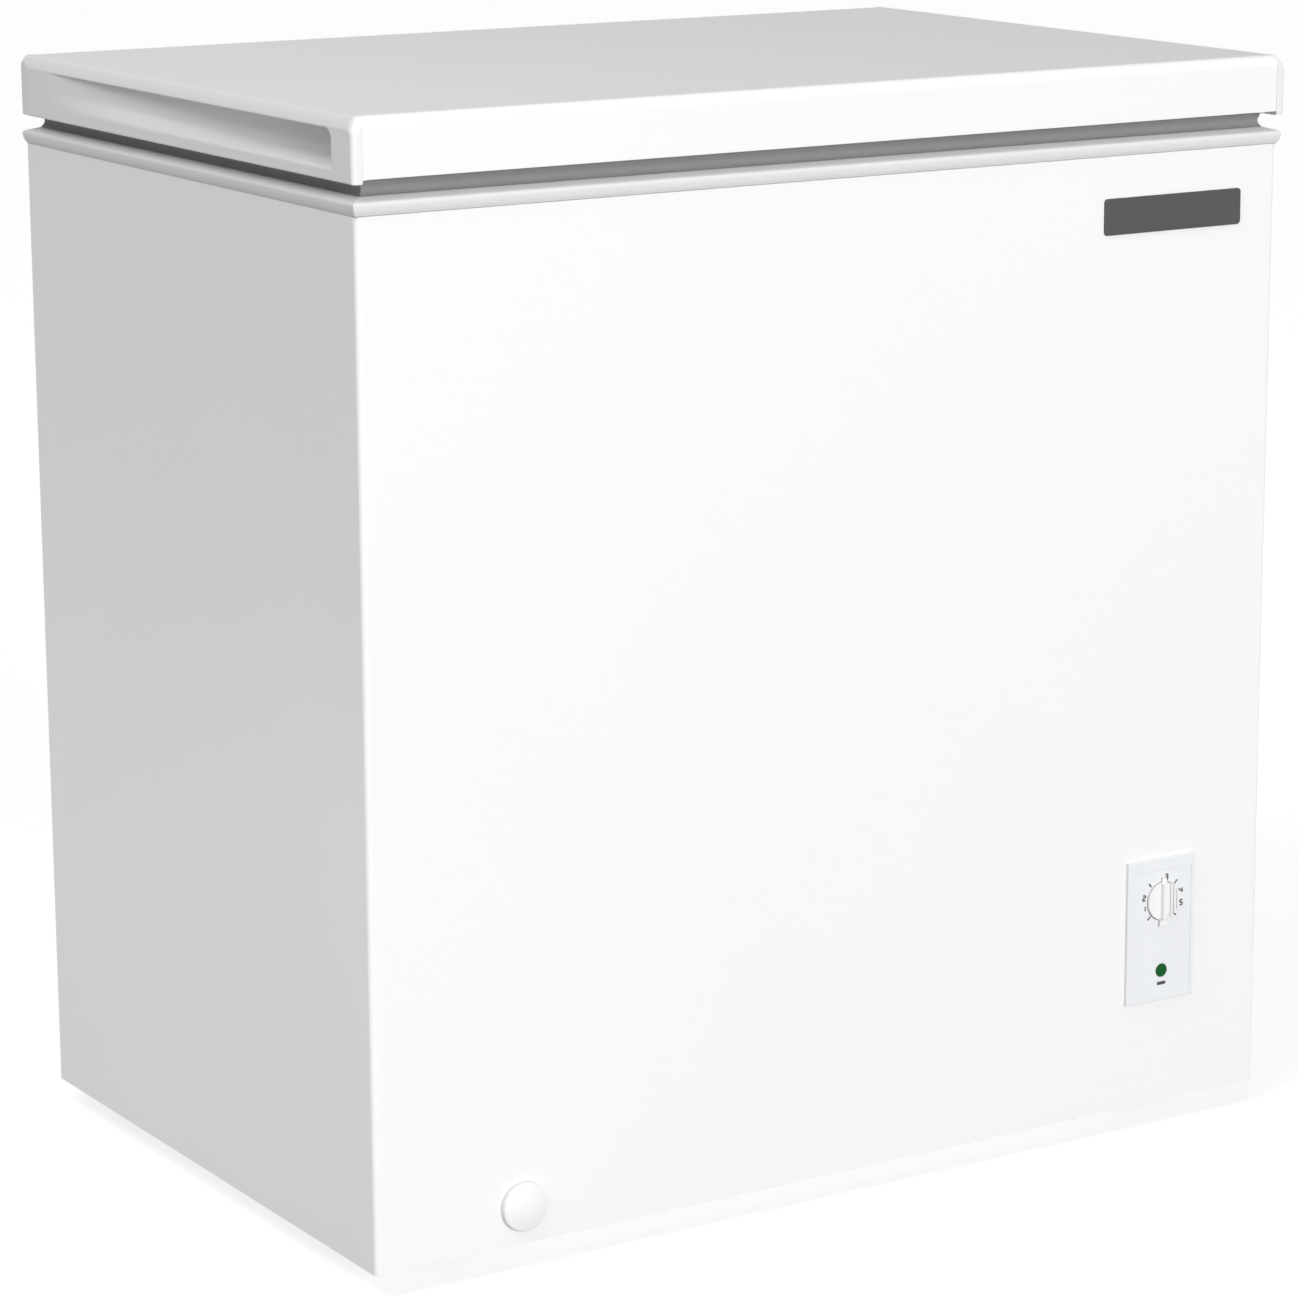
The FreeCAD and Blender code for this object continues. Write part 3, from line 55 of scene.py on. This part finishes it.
def finish_mat(name, base, rough=(0.3, 0.4), metallic=0.0, var=0.02, scale=40.0, bump=0.02, bump_scale=600.0, coat=0.0, coat_rough=0.1,
               specular=0.5, edge=0.0, stretch=(1, 1, 1), dark=None, sheen=0.0, detail=4.0, subsurface=0.0, ior=1.45, transmission=0.0, emission=None):
    """Painted, moulded or metal surface: cloudy tone change, uneven gloss and a fine surface texture, all from noise."""
    m = bpy.data.materials.new(name)
    m.use_nodes = True
    nt = m.node_tree
    nt.nodes.clear()
    out = nt.nodes.new("ShaderNodeOutputMaterial")
    b = nt.nodes.new("ShaderNodeBsdfPrincipled")
    nt.links.new(b.outputs[0], out.inputs[0])
    tc = nt.nodes.new("ShaderNodeTexCoord")
    mp = nt.nodes.new("ShaderNodeMapping")
    mp.inputs["Scale"].default_value = stretch
    nt.links.new(tc.outputs["Object"], mp.inputs["Vector"])
    n1 = nt.nodes.new("ShaderNodeTexNoise")
    n1.inputs["Scale"].default_value = scale
    n1.inputs["Detail"].default_value = detail
    nt.links.new(mp.outputs[0], n1.inputs["Vector"])
    cr = nt.nodes.new("ShaderNodeValToRGB")
    lo = tuple(max(0.0, c * (1 - var)) for c in base) if dark is None else dark
    hi = tuple(min(1.0, c * (1 + var)) for c in base)
    cr.color_ramp.elements[0].position, cr.color_ramp.elements[0].color = 0.15, (*lo, 1)
    cr.color_ramp.elements[1].position, cr.color_ramp.elements[1].color = 0.85, (*hi, 1)
    nt.links.new(n1.outputs["Fac"], cr.inputs[0])
    nt.links.new(cr.outputs[0], b.inputs["Base Color"])
    n2 = nt.nodes.new("ShaderNodeTexNoise")
    n2.inputs["Scale"].default_value = scale * 2.3
    n2.inputs["Detail"].default_value = 3.0
    nt.links.new(mp.outputs[0], n2.inputs["Vector"])
    mr = nt.nodes.new("ShaderNodeMapRange")
    mr.inputs["From Min"].default_value, mr.inputs["From Max"].default_value = 0.1, 0.9
    mr.inputs["To Min"].default_value, mr.inputs["To Max"].default_value = rough
    nt.links.new(n2.outputs["Fac"], mr.inputs["Value"])
    nt.links.new(mr.outputs[0], b.inputs["Roughness"])
    normal = None
    if edge:
        bv = nt.nodes.new("ShaderNodeBevel")
        bv.samples = 4
        bv.inputs["Radius"].default_value = edge
        normal = bv.outputs[0]
    if bump:
        n3 = nt.nodes.new("ShaderNodeTexNoise")
        n3.inputs["Scale"].default_value = bump_scale
        n3.inputs["Detail"].default_value = 2.0
        nt.links.new(mp.outputs[0], n3.inputs["Vector"])
        bp = nt.nodes.new("ShaderNodeBump")
        bp.inputs["Strength"].default_value = bump
        bp.inputs["Distance"].default_value = 0.001
        nt.links.new(n3.outputs["Fac"], bp.inputs["Height"])
        if normal:
            nt.links.new(normal, bp.inputs["Normal"])
        normal = bp.outputs[0]
    if normal:
        nt.links.new(normal, b.inputs["Normal"])
    b.inputs["Metallic"].default_value = metallic
    sock(b, "Specular IOR Level", "Specular").default_value = specular
    b.inputs["IOR"].default_value = ior
    if coat:
        sock(b, "Coat Weight").default_value = coat
        sock(b, "Coat Roughness").default_value = coat_rough
    if sheen:
        sock(b, "Sheen Weight").default_value = sheen
    if subsurface:
        sock(b, "Subsurface Weight").default_value = subsurface
        sock(b, "Subsurface Scale").default_value = 0.004
        sock(b, "Subsurface Radius").default_value = (1.0, 0.95, 0.9)
    if transmission:
        sock(b, "Transmission Weight").default_value = transmission
    if emission:
        sock(b, "Emission Color").default_value = (*emission[0], 1)
        sock(b, "Emission Strength").default_value = emission[1]
    return m


WHITE = (0.80, 0.805, 0.80)
M = {}
M["shell"] = finish_mat("shell_enamel", WHITE, rough=(0.36, 0.42), var=0.006, scale=3, bump=0.012, bump_scale=420, coat=0.12, coat_rough=0.25, detail=1.5)
M["lid"] = finish_mat("lid_enamel", (0.795, 0.80, 0.795), rough=(0.40, 0.46), var=0.006, scale=3, bump=0.015, bump_scale=420, coat=0.08, coat_rough=0.3, detail=1.5)
M["cap"] = finish_mat("end_cap_moulding", (0.74, 0.742, 0.735), rough=(0.42, 0.50), var=0.008, scale=15, bump=0.05, bump_scale=1500, edge=0.0004)
M["frame"] = finish_mat("frame_moulding", (0.70, 0.71, 0.705), rough=(0.40, 0.50), var=0.01, scale=25, bump=0.10, bump_scale=1500, edge=0.0007, subsurface=0.04)
M["panel"] = finish_mat("panel_moulding", (0.74, 0.755, 0.775), rough=(0.30, 0.38), var=0.01, scale=60, bump=0.06, bump_scale=2500, edge=0.0004)
M["knob"] = finish_mat("knob_moulding", (0.80, 0.80, 0.79), rough=(0.26, 0.34), var=0.015, scale=120, bump=0.05, bump_scale=3000, edge=0.0005)
M["plastic"] = finish_mat("white_moulding", (0.80, 0.80, 0.79), rough=(0.36, 0.46), var=0.012, scale=50, bump=0.08, bump_scale=2000, edge=0.0005)
M["lid_liner"] = finish_mat("lid_liner_sheet", (0.77, 0.775, 0.77), rough=(0.35, 0.45), var=0.012, scale=18, bump=0.12, bump_scale=700, edge=0.002)
# gasket grey: the seal's own dark vinyl tone, set darker than the real seal so the colour also carries painted shade
# for the shadow under the lid's overhang
M["gasket"] = finish_mat("gasket_vinyl", (0.21, 0.21, 0.208), rough=(0.55, 0.66), var=0.05, scale=60, bump=0.08, bump_scale=1800, sheen=0.1)
M["liner"] = finish_mat("liner_stucco", (0.74, 0.75, 0.76), rough=(0.24, 0.36), metallic=0.85, var=0.05, scale=60, bump=0.30, bump_scale=260, edge=0.001)
M["back"] = finish_mat("back_galvanised", (0.70, 0.705, 0.70), rough=(0.38, 0.50), metallic=0.0, var=0.03, scale=12, bump=0.05, bump_scale=400)
M["zinc"] = finish_mat("zinc_plate", (0.62, 0.63, 0.64), rough=(0.28, 0.44), metallic=1.0, var=0.10, scale=90, bump=0.06, bump_scale=900, edge=0.0003)
M["hinge"] = finish_mat("hinge_zinc", (0.60, 0.61, 0.62), rough=(0.30, 0.45), metallic=1.0, var=0.09, scale=70, bump=0.05, bump_scale=800, edge=0.0005)
M["foam"] = finish_mat("polyurethane_foam", (0.80, 0.68, 0.42), rough=(0.8, 0.95), var=0.12, scale=140, bump=0.5, bump_scale=900)
M["rubber"] = finish_mat("black_rubber", (0.03, 0.03, 0.03), rough=(0.6, 0.75), var=0.2, scale=120, bump=0.15, bump_scale=2200, edge=0.0003)
M["foot"] = finish_mat("foot_moulding", (0.05, 0.05, 0.052), rough=(0.5, 0.65), var=0.15, scale=120, bump=0.12, bump_scale=2200, edge=0.0005)
M["black"] = finish_mat("black_enamel", (0.018, 0.018, 0.02), rough=(0.28, 0.40), var=0.2, scale=40, bump=0.10, bump_scale=600, coat=0.3, edge=0.0008)
M["steel_tube"] = finish_mat("painted_tube", (0.16, 0.165, 0.175), rough=(0.35, 0.5), var=0.12, scale=120, bump=0.05)
M["alu_tube"] = finish_mat("aluminium_tube", (0.70, 0.70, 0.71), rough=(0.3, 0.42), metallic=1.0, var=0.06, scale=120, bump=0.05)
M["copper"] = finish_mat("copper_tube", (0.80, 0.42, 0.26), rough=(0.24, 0.42), metallic=1.0, var=0.18, scale=90, bump=0.05, dark=(0.45, 0.20, 0.11))
M["black_plastic"] = finish_mat("black_moulding", (0.03, 0.03, 0.032), rough=(0.4, 0.55), var=0.15, scale=90, bump=0.12, bump_scale=1800, edge=0.0005)
M["ivory"] = finish_mat("control_body", (0.62, 0.61, 0.56), rough=(0.4, 0.5), var=0.04, scale=90, bump=0.06, edge=0.0005)
M["acetal"] = finish_mat("acetal_moulding", (0.74, 0.74, 0.71), rough=(0.32, 0.42), var=0.02, scale=90, bump=0.05, edge=0.0004, subsurface=0.05)
M["lens"] = finish_mat("green_lens", (0.003, 0.085, 0.018), rough=(0.45, 0.55), var=0.10, scale=400, bump=0.02, specular=0.12)
M["mark"] = finish_mat("printed_mark", (0.045, 0.045, 0.05), rough=(0.5, 0.6), var=0.15, scale=900, bump=0.03)
M["badge"] = finish_mat("badge_brushed", (0.075, 0.07, 0.07), rough=(0.30, 0.45), metallic=0.3, var=0.12, scale=60, bump=0.10, bump_scale=300, stretch=(0.05, 1, 1), edge=0.0006)
M["wire"] = finish_mat("basket_coating", (0.80, 0.80, 0.80), rough=(0.26, 0.36), var=0.015, scale=120, bump=0.06, bump_scale=900, coat=0.2)
M["harness"] = finish_mat("wire_insulation", (0.03, 0.03, 0.035), rough=(0.4, 0.5), var=0.2, scale=200, bump=0.05)
M["pipe"] = finish_mat("drain_moulding", (0.66, 0.66, 0.64), rough=(0.4, 0.5), var=0.03, scale=80, bump=0.06)
M["spring"] = finish_mat("spring_steel", (0.42, 0.43, 0.45), rough=(0.22, 0.36), metallic=1.0, var=0.15, scale=200, bump=0.03)

USE = {
    "outer_wrap": "shell", "back_panel": "back", "base_pan": "zinc", "bulkhead": "zinc", "foam_insulation": "foam", "inner_liner": "liner",
    "top_frame": "frame", "evaporator_coil": "alu_tube", "condenser_coil": "steel_tube", "compressor_base_plate": "zinc", "compressor": "black",
    "compressor_mounts": "rubber", "compressor_bolts": "zinc", "terminal_cover": "black_plastic", "start_relay": "black_plastic", "filter_drier": "copper",
    "refrigerant_pipes": "copper", "capillary_tube": "copper", "sensor_tube": "copper", "side_grille": "plastic", "rear_access_cover": "back",
    "thermostat": "ivory", "control_panel": "panel", "indicator_lens": "lens", "indicator_lamp": "black_plastic", "name_badge": "badge",
    "drain_tube": "pipe", "cord_gland": "rubber", "feet": "foot", "body_screws": "zinc", "wiring_harness": "harness", "lid_skin": "lid", "lid_foam": "foam",
    "lid_liner": "lid_liner", "lid_gasket": "gasket", "lid_cap_left": "cap", "lid_cap_right": "cap", "lid_screws": "zinc", "thermostat_knob": "knob",
    "thermostat_shaft": "zinc", "drain_cap": "plastic", "drain_plug": "rubber", "basket_front": "wire", "basket_rear": "wire", "basket_left": "wire",
    "basket_right": "wire", "basket_floor": "wire", "basket_hangers": "wire", "hinge_housing_left": "hinge", "hinge_housing_right": "hinge",
    "hinge_arm_left": "hinge", "hinge_arm_right": "hinge", "hinge_pin_left": "zinc", "hinge_pin_right": "zinc", "hinge_cam_left": "acetal",
    "hinge_cam_right": "acetal", "hinge_plunger_left": "acetal", "hinge_plunger_right": "acetal", "hinge_spring_left": "spring", "hinge_spring_right": "spring",
}
for name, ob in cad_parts.items():
    mat = M[USE[name]]
    if not ob.material_slots:
        ob.data.materials.append(mat)
    for s in ob.material_slots:
        s.material = mat


# ------------------------------------------------------------------ mesh helpers
def piece(name, verts, faces, body, mat, angle=35.0, nodes=()):
    me = bpy.data.meshes.new(name)
    me.from_pydata([tuple(v) for v in verts], [], faces)
    bm = bmesh.new()
    bm.from_mesh(me)
    bmesh.ops.remove_doubles(bm, verts=bm.verts, dist=1e-7)
    bmesh.ops.recalc_face_normals(bm, faces=bm.faces)
    if bm.calc_volume(signed=True) < 0:
        bmesh.ops.reverse_faces(bm, faces=bm.faces)
    lim = math.radians(angle)
    for f in bm.faces:
        f.smooth = True
    for e in bm.edges:
        if len(e.link_faces) == 2 and e.calc_face_angle(0.0) > lim:
            e.smooth = False
    bm.to_mesh(me)
    bm.free()
    me.materials.append(M[mat])
    ob = bpy.data.objects.new(name, me)
    bpy.context.scene.collection.objects.link(ob)
    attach(ob, body)
    if nodes:
        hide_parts(*nodes)
    return ob


def smoothstep(a, b, x):
    t = min(1.0, max(0.0, (x - a) / (b - a)))
    return t * t * (3 - 2 * t)


def graded(stops):
    """Values from a list of (value, step up to the next)."""
    out = []
    for (a, st), (b, _) in zip(stops[:-1], stops[1:]):
        n = max(1, int(round((b - a) / st)))
        out += [a + (b - a) * i / n for i in range(n)]
    out.append(stops[-1][0])
    return out


# ------------------------------------------------------------------ lid end caps with the swept finger scoop
lo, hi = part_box("lid_cap_left")
CX0, CY0, CY1, CZ0, CZ1 = lo.x / MM, lo.y / MM, hi.y / MM, lo.z / MM, hi.z / MM
sk_lo, sk_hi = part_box("lid_skin")
SEAM = abs(sk_lo.x) / MM
S_FRONT, S_TOP, S_Z0, S_Z1, S_DEEP = CY0 + 29.4, CY0 + 29.4, 814.3, 840.2, 24.0
S_REAR = CY0 + 484.6


def ztop(y):
    f, r = 8.4, 3.6
    if y < CY0 + f:
        t = CY0 + f - y
        return CZ1 - f + math.sqrt(max(0.0, f * f - t * t))
    if y > CY1 - r:
        t = y - (CY1 - r)
        return CZ1 - r + math.sqrt(max(0.0, r * r - t * t))
    return CZ1


def roundin(q, r):
    """How far an edge of radius r has fallen away at distance q in from the outline."""
    if q >= r:
        return 0.0
    t = r - max(0.0, q)
    return r - math.sqrt(max(0.0, r * r - t * t))


def scoop(y, z):
    a, b_ = y - S_FRONT, S_Z1 - z
    r = 9.0
    if a < r and b_ < r:
        q = r - math.hypot(r - a, r - b_)
    else:
        q = min(a, b_)
    if q <= 0 or y >= S_REAR:
        return 0.0
    t = (y - S_FRONT) / (S_REAR - S_FRONT)
    deep = S_DEEP * (1 - t) ** 0.92
    h = S_Z1 - S_Z0
    v = b_ / h                                   # 0 at the ceiling, 1 at the foot
    knee = 0.42 + 0.46 * (1 - t) ** 0.6
    p = 1.0 if v < knee else 1.0 - smoothstep(knee, 1.08, v)
    edge = 0.6
    return deep * p * smoothstep(0.0, edge, q)


def cap(side):
    ys = graded([(CY0, 0.25), (CY0 + 2.0, 0.8), (CY0 + 9.0, 2.5), (S_FRONT - 0.9, 0.3), (S_FRONT + 10.5, 3.0), (S_FRONT + 60, 6.0),
                 (S_REAR - 60, 3.0), (S_REAR + 4, 4.0), (CY1 - 22.0, 1.4), (CY1 - 4.0, 0.25), (CY1, 1)])
    zs = graded([(CZ0, 0.25), (CZ0 + 1.5, 1.2), (S_Z0 - 1.5, 1.1), (828.0, 0.7), (S_Z1 - 9.9, 0.3), (S_Z1 + 0.3, 0.6), (CZ1, 1)])
    span = CZ1 - CZ0
    xs_out, pts_o, pts_i = [], [], []
    for y in ys:
        zt = ztop(y)
        ro, ri = [], []
        for z0 in zs:
            # rows keep their height below the scoop's ceiling and are pressed together above it near the rounded ends
            if z0 <= S_Z1 + 0.3 and zt > S_Z1 + 1.0:
                z = z0
            elif zt > S_Z1 + 1.0:
                z = (S_Z1 + 0.3) + (z0 - (S_Z1 + 0.3)) * (zt - (S_Z1 + 0.3)) / (CZ1 - (S_Z1 + 0.3))
            else:
                z = CZ0 + (z0 - CZ0) * (zt - CZ0) / span
            slope = 0.45 * roundin(zt - z, 7.6) + 0.55 * max(0.0, 7.4 * (1 - (zt - z) / 9.0))
            e = max(slope, roundin(y - CY0, 3.2), roundin(z - CZ0, 1.2), 2.2 * (1.0 - smoothstep(0.0, 20.0, CY1 - y)) ** 1.4)
            x = CX0 + min(e, abs(CX0) - SEAM) + scoop(y, z)
            xi = max(-SEAM + 0.0, CX0 + scoop(y, z) + 2.4)
            if abs(xi - x) < 0.02:
                xi = x + 0.02
            ro.append((x, y, z))
            ri.append((max(xi, -SEAM), y, z))
        pts_o.append(ro)
        pts_i.append(ri)
    ny, nz = len(ys), len(zs)
    verts, faces = [], []
    for grid_ in (pts_o, pts_i):
        for row in grid_:
            for x, y, z in row:
                verts.append((side * -x * MM if side > 0 else x * MM, y * MM, z * MM))
    off = ny * nz
    for i in range(ny - 1):
        for j in range(nz - 1):
            a = i * nz + j
            faces.append((a, a + nz, a + nz + 1, a + 1))
            faces.append((off + a, off + a + 1, off + a + nz + 1, off + a + nz))
    for i in range(ny - 1):
        a, b_ = i * nz, i * nz + nz - 1
        faces.append((a, off + a, off + a + nz, a + nz))
        faces.append((b_, b_ + nz, off + b_ + nz, off + b_))
    for j in range(nz - 1):
        a, b_ = j, (ny - 1) * nz + j
        faces.append((a, a + 1, off + a + 1, off + a))
        faces.append((b_, off + b_, off + b_ + 1, b_ + 1))
    return verts, faces


v, f = cap(-1)
piece("end_cap_left", v, f, "lid", "cap", 50, ("lid_cap_left",))
v, f = cap(1)
piece("end_cap_right", v, f, "lid", "cap", 50, ("lid_cap_right",))

# ------------------------------------------------------------------ lid gasket: soft bellows section run round the lid, mitred and welded at the corners
lo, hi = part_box("lid_gasket")
GX, GY0, GY1 = hi.x / MM, lo.y / MM, hi.y / MM
GZ0, GZ1 = lo.z / MM, hi.z / MM


def gasket():
    prof = []
    n = 16
    for i in range(n + 1):                       # outer side: flared foot, waist, bead under the lid
        t = i / n
        z = GZ0 + (GZ1 - GZ0) * t
        u = 2.35 * math.sin(math.pi * min(1.0, t * 1.15)) ** 0.75 if t * 1.15 < 1 else 0.0
        u = max(u, 1.4 * smoothstep(0.35, 0.9, t))
        prof.append((u, z))
    for i in range(n + 1):                       # inner side
        t = 1 - i / n
        z = GZ0 + (GZ1 - GZ0) * t
        u = 19.2 - 2.0 * math.sin(math.pi * t)
        prof.append((u, z))
    for k, (du, dz) in enumerate(((16, 0.0), (14.5, 0.7), (13, 0.0), (7, 0.0), (5.5, 0.7), (4.0, 0.0))):   # two shallow grooves in the sealing face
        prof.append((du, GZ0 + dz))
    verts, faces = [], []
    m = len(prof)
    for u, z in prof:
        x, y0, y1 = GX - u, GY0 + u, GY1 - u
        verts += [(-x * MM, y0 * MM, z * MM), (x * MM, y0 * MM, z * MM), (x * MM, y1 * MM, z * MM), (-x * MM, y1 * MM, z * MM)]
    for i in range(m):
        j = (i + 1) % m
        for k in range(4):
            l = (k + 1) % 4
            faces.append((i * 4 + k, i * 4 + l, j * 4 + l, j * 4 + k))
    return verts, faces


v, f = gasket()
piece("seal_ring", v, f, "lid", "gasket", 40, ("lid_gasket",))


# ------------------------------------------------------------------ printed dial marks and digits
lo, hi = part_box("thermostat_knob")
lens_lo, lens_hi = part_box("indicator_lens")
pl_lo, pl_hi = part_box("control_panel")
KX = (lo.x + hi.x) / 2
shaft_lo, shaft_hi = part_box("thermostat_shaft")
KZ = (shaft_lo.z + shaft_hi.z) / 2
FACE_Y = pl_lo.y + 0.0004            # floor of the panel's shallow pocket
LZ = (lens_lo.z + lens_hi.z) / 2


def bars(rects):
    """Thin printed bars: each rect is (cx, cz, half width, half height, angle), in mm about the knob."""
    verts, faces = [], []
    for cx, cz, hw, hh, ang in rects:
        c, s = math.cos(ang), math.sin(ang)
        base = len(verts)
        for yy in (FACE_Y - 0.00012, FACE_Y + 0.00005):
            for sx, sz in ((-1, -1), (1, -1), (1, 1), (-1, 1)):
                px, pz = sx * hw, sz * hh
                verts.append((KX + (cx + px * c - pz * s) * MM, yy, KZ + (cz + px * s + pz * c) * MM))
        b = base
        faces += [(b, b + 1, b + 2, b + 3), (b + 4, b + 7, b + 6, b + 5), (b, b + 4, b + 5, b + 1), (b + 1, b + 5, b + 6, b + 2), (b + 2, b + 6, b + 7, b + 3), (b + 3, b + 7, b + 4, b)]
    return verts, faces


SEG = {"a": (0, 1.7, 1.0, 0.42), "g": (0, 0, 0.92, 0.40), "d": (0, -1.7, 1.0, 0.42), "f": (-1.02, 0.85, 0.42, 0.66), "b": (1.02, 0.85, 0.42, 0.66),
       "e": (-1.02, -0.85, 0.42, 0.66), "c": (1.02, -0.85, 0.42, 0.66)}
DIG = {"1": "bc", "2": "abged", "3": "abgcd", "4": "fgbc", "5": "afgcd", "6": "afgedc", "7": "abc"}
rects = []
for d, ang in (("1", -103), ("2", -76), ("3", 10.6), ("4", 72.4), ("5", 103)):
    a = math.radians(ang)
    cx, cz = 19.2 * math.sin(a), 19.2 * math.cos(a)
    for s in DIG[d]:
        x, z, w, h = SEG[s]
        rects.append((cx + 1.25 * x, cz + 1.2 * z, 1.25 * w + (0.12 if w < 0.5 else -0.03), 1.2 * h + (0.12 if h < 0.5 else -0.03), 0.0))
for ang, r0, r1, w in ((-133.5, 16.6, 20.6, 0.62), (-42, 17.4, 21.0, 0.68), (43.5, 16.6, 21.0, 0.55), (136, 16.4, 19.6, 0.62)):
    a = math.radians(ang)
    rm = (r0 + r1) / 2
    rects.append((rm * math.sin(a), rm * math.cos(a), w, (r1 - r0) / 2, -a))
v, f = bars(rects)
piece("dial_marks", v, f, "cabinet", "mark", 30)
v, f = bars([(0.2, (LZ - KZ) / MM - 10.6, 4.1, 1.35, 0.0)])
piece("lamp_mark", v, f, "cabinet", "mark", 30)

# ------------------------------------------------------------------ floor, light and camera
fm = bpy.data.materials.new("studio_floor")
fm.use_nodes = True
nt = fm.node_tree
bs = nt.nodes["Principled BSDF"]
nz = nt.nodes.new("ShaderNodeTexNoise")
nz.inputs["Scale"].default_value = 3.0
rp = nt.nodes.new("ShaderNodeValToRGB")
rp.color_ramp.elements[0].color = (0.54, 0.54, 0.54, 1)
rp.color_ramp.elements[1].color = (0.56, 0.56, 0.56, 1)
nt.links.new(nz.outputs["Fac"], rp.inputs[0])
nt.links.new(rp.outputs[0], bs.inputs["Base Color"])
bs.inputs["Roughness"].default_value = 0.9
sock(bs, "Specular IOR Level", "Specular").default_value = 0.1
sock(bs, "Emission Color").default_value = (1, 1, 1, 1)
sock(bs, "Emission Strength").default_value = 0.64
me = bpy.data.meshes.new("floor")
R = 30.0
me.from_pydata([(-R, -R, 0), (R, -R, 0), (R, R, 0), (-R, R, 0)], [], [(0, 1, 2, 3)])
me.materials.append(fm)
floor = bpy.data.objects.new("floor", me)
bpy.context.scene.collection.objects.link(floor)
floor.visible_diffuse = False      # the bounce from below comes from the even studio light instead

world = bpy.data.worlds.new("studio")
bpy.context.scene.world = world
world.use_nodes = True
wn = world.node_tree
wn.nodes.clear()
wo = wn.nodes.new("ShaderNodeOutputWorld")
mix = wn.nodes.new("ShaderNodeMixShader")
lp = wn.nodes.new("ShaderNodeLightPath")
bg1 = wn.nodes.new("ShaderNodeBackground")
bg2 = wn.nodes.new("ShaderNodeBackground")
bg1.inputs[0].default_value = (1, 1, 1, 1)
tcw = wn.nodes.new("ShaderNodeTexCoord")
sep = wn.nodes.new("ShaderNodeSeparateXYZ")
mrw = wn.nodes.new("ShaderNodeMapRange")
mrw.inputs["From Min"].default_value, mrw.inputs["From Max"].default_value = -0.3, 0.3
mrw.inputs["To Min"].default_value, mrw.inputs["To Max"].default_value = 0.20, 0.46
wn.links.new(tcw.outputs["Generated"], sep.inputs[0])
wn.links.new(sep.outputs["Z"], mrw.inputs["Value"])
wn.links.new(mrw.outputs[0], bg1.inputs[1])
bg2.inputs[0].default_value = (1, 1, 1, 1)
bg2.inputs[1].default_value = 1.0
wn.links.new(lp.outputs["Is Camera Ray"], mix.inputs[0])
wn.links.new(bg1.outputs[0], mix.inputs[1])
wn.links.new(bg2.outputs[0], mix.inputs[2])
wn.links.new(mix.outputs[0], wo.inputs[0])


sun = bpy.data.lights.new("soft_key", "SUN")
sun.energy = 2.95
sun.angle = math.radians(34.0)
so = bpy.data.objects.new("soft_key", sun)
so.location = (0.4, -3.0, 3.0)
so.rotation_euler = Vector((-0.02, 0.985, -0.14)).to_track_quat("-Z", "Y").to_euler()
bpy.context.scene.collection.objects.link(so)


def area(name, loc, target, size_x, size_y, power):
    d = bpy.data.lights.new(name, "AREA")
    d.shape = "RECTANGLE"
    d.size, d.size_y, d.energy = size_x, size_y, power
    o = bpy.data.objects.new(name, d)
    o.location = loc
    o.rotation_euler = (Vector(target) - Vector(loc)).to_track_quat("-Z", "Y").to_euler()
    bpy.context.scene.collection.objects.link(o)


area("left_high", (-2.6, -0.9, 3.9), (0, 0, 0.6), 2.2, 2.2, 74)
area("left_low", (-1.05, 0.0, 0.06), (-0.4, 0.0, 0.10), 1.8, 0.2, 1.3)

scene = bpy.context.scene
scene.view_settings.view_transform = "Standard"
scene.view_settings.look = "None"
scene.view_settings.exposure = 0.0
scene.view_settings.gamma = 1.0

cam = bpy.data.cameras.new("camera")
co = bpy.data.objects.new("camera", cam)
scene.collection.objects.link(co)
YAW, PITCH = 0.5820487428778724, 0.22133807914772335
co.location = (-1.820770627, -2.926082402, 1.171836521)
co.rotation_euler = Euler((math.pi / 2 - PITCH, 0.0, -YAW), "XYZ")
cam.sensor_fit = "VERTICAL"
cam.sensor_height = 36.0
cam.sensor_width = 36.0
cam.lens = 4431.311451275069 * 36.0 / 1300.0
cam.shift_x = (649.0 - 756.866396696455) / 1300.0
cam.shift_y = (624.6454012340505 - 650.0) / 1300.0
cam.clip_start, cam.clip_end = 0.05, 100.0
scene.camera = co
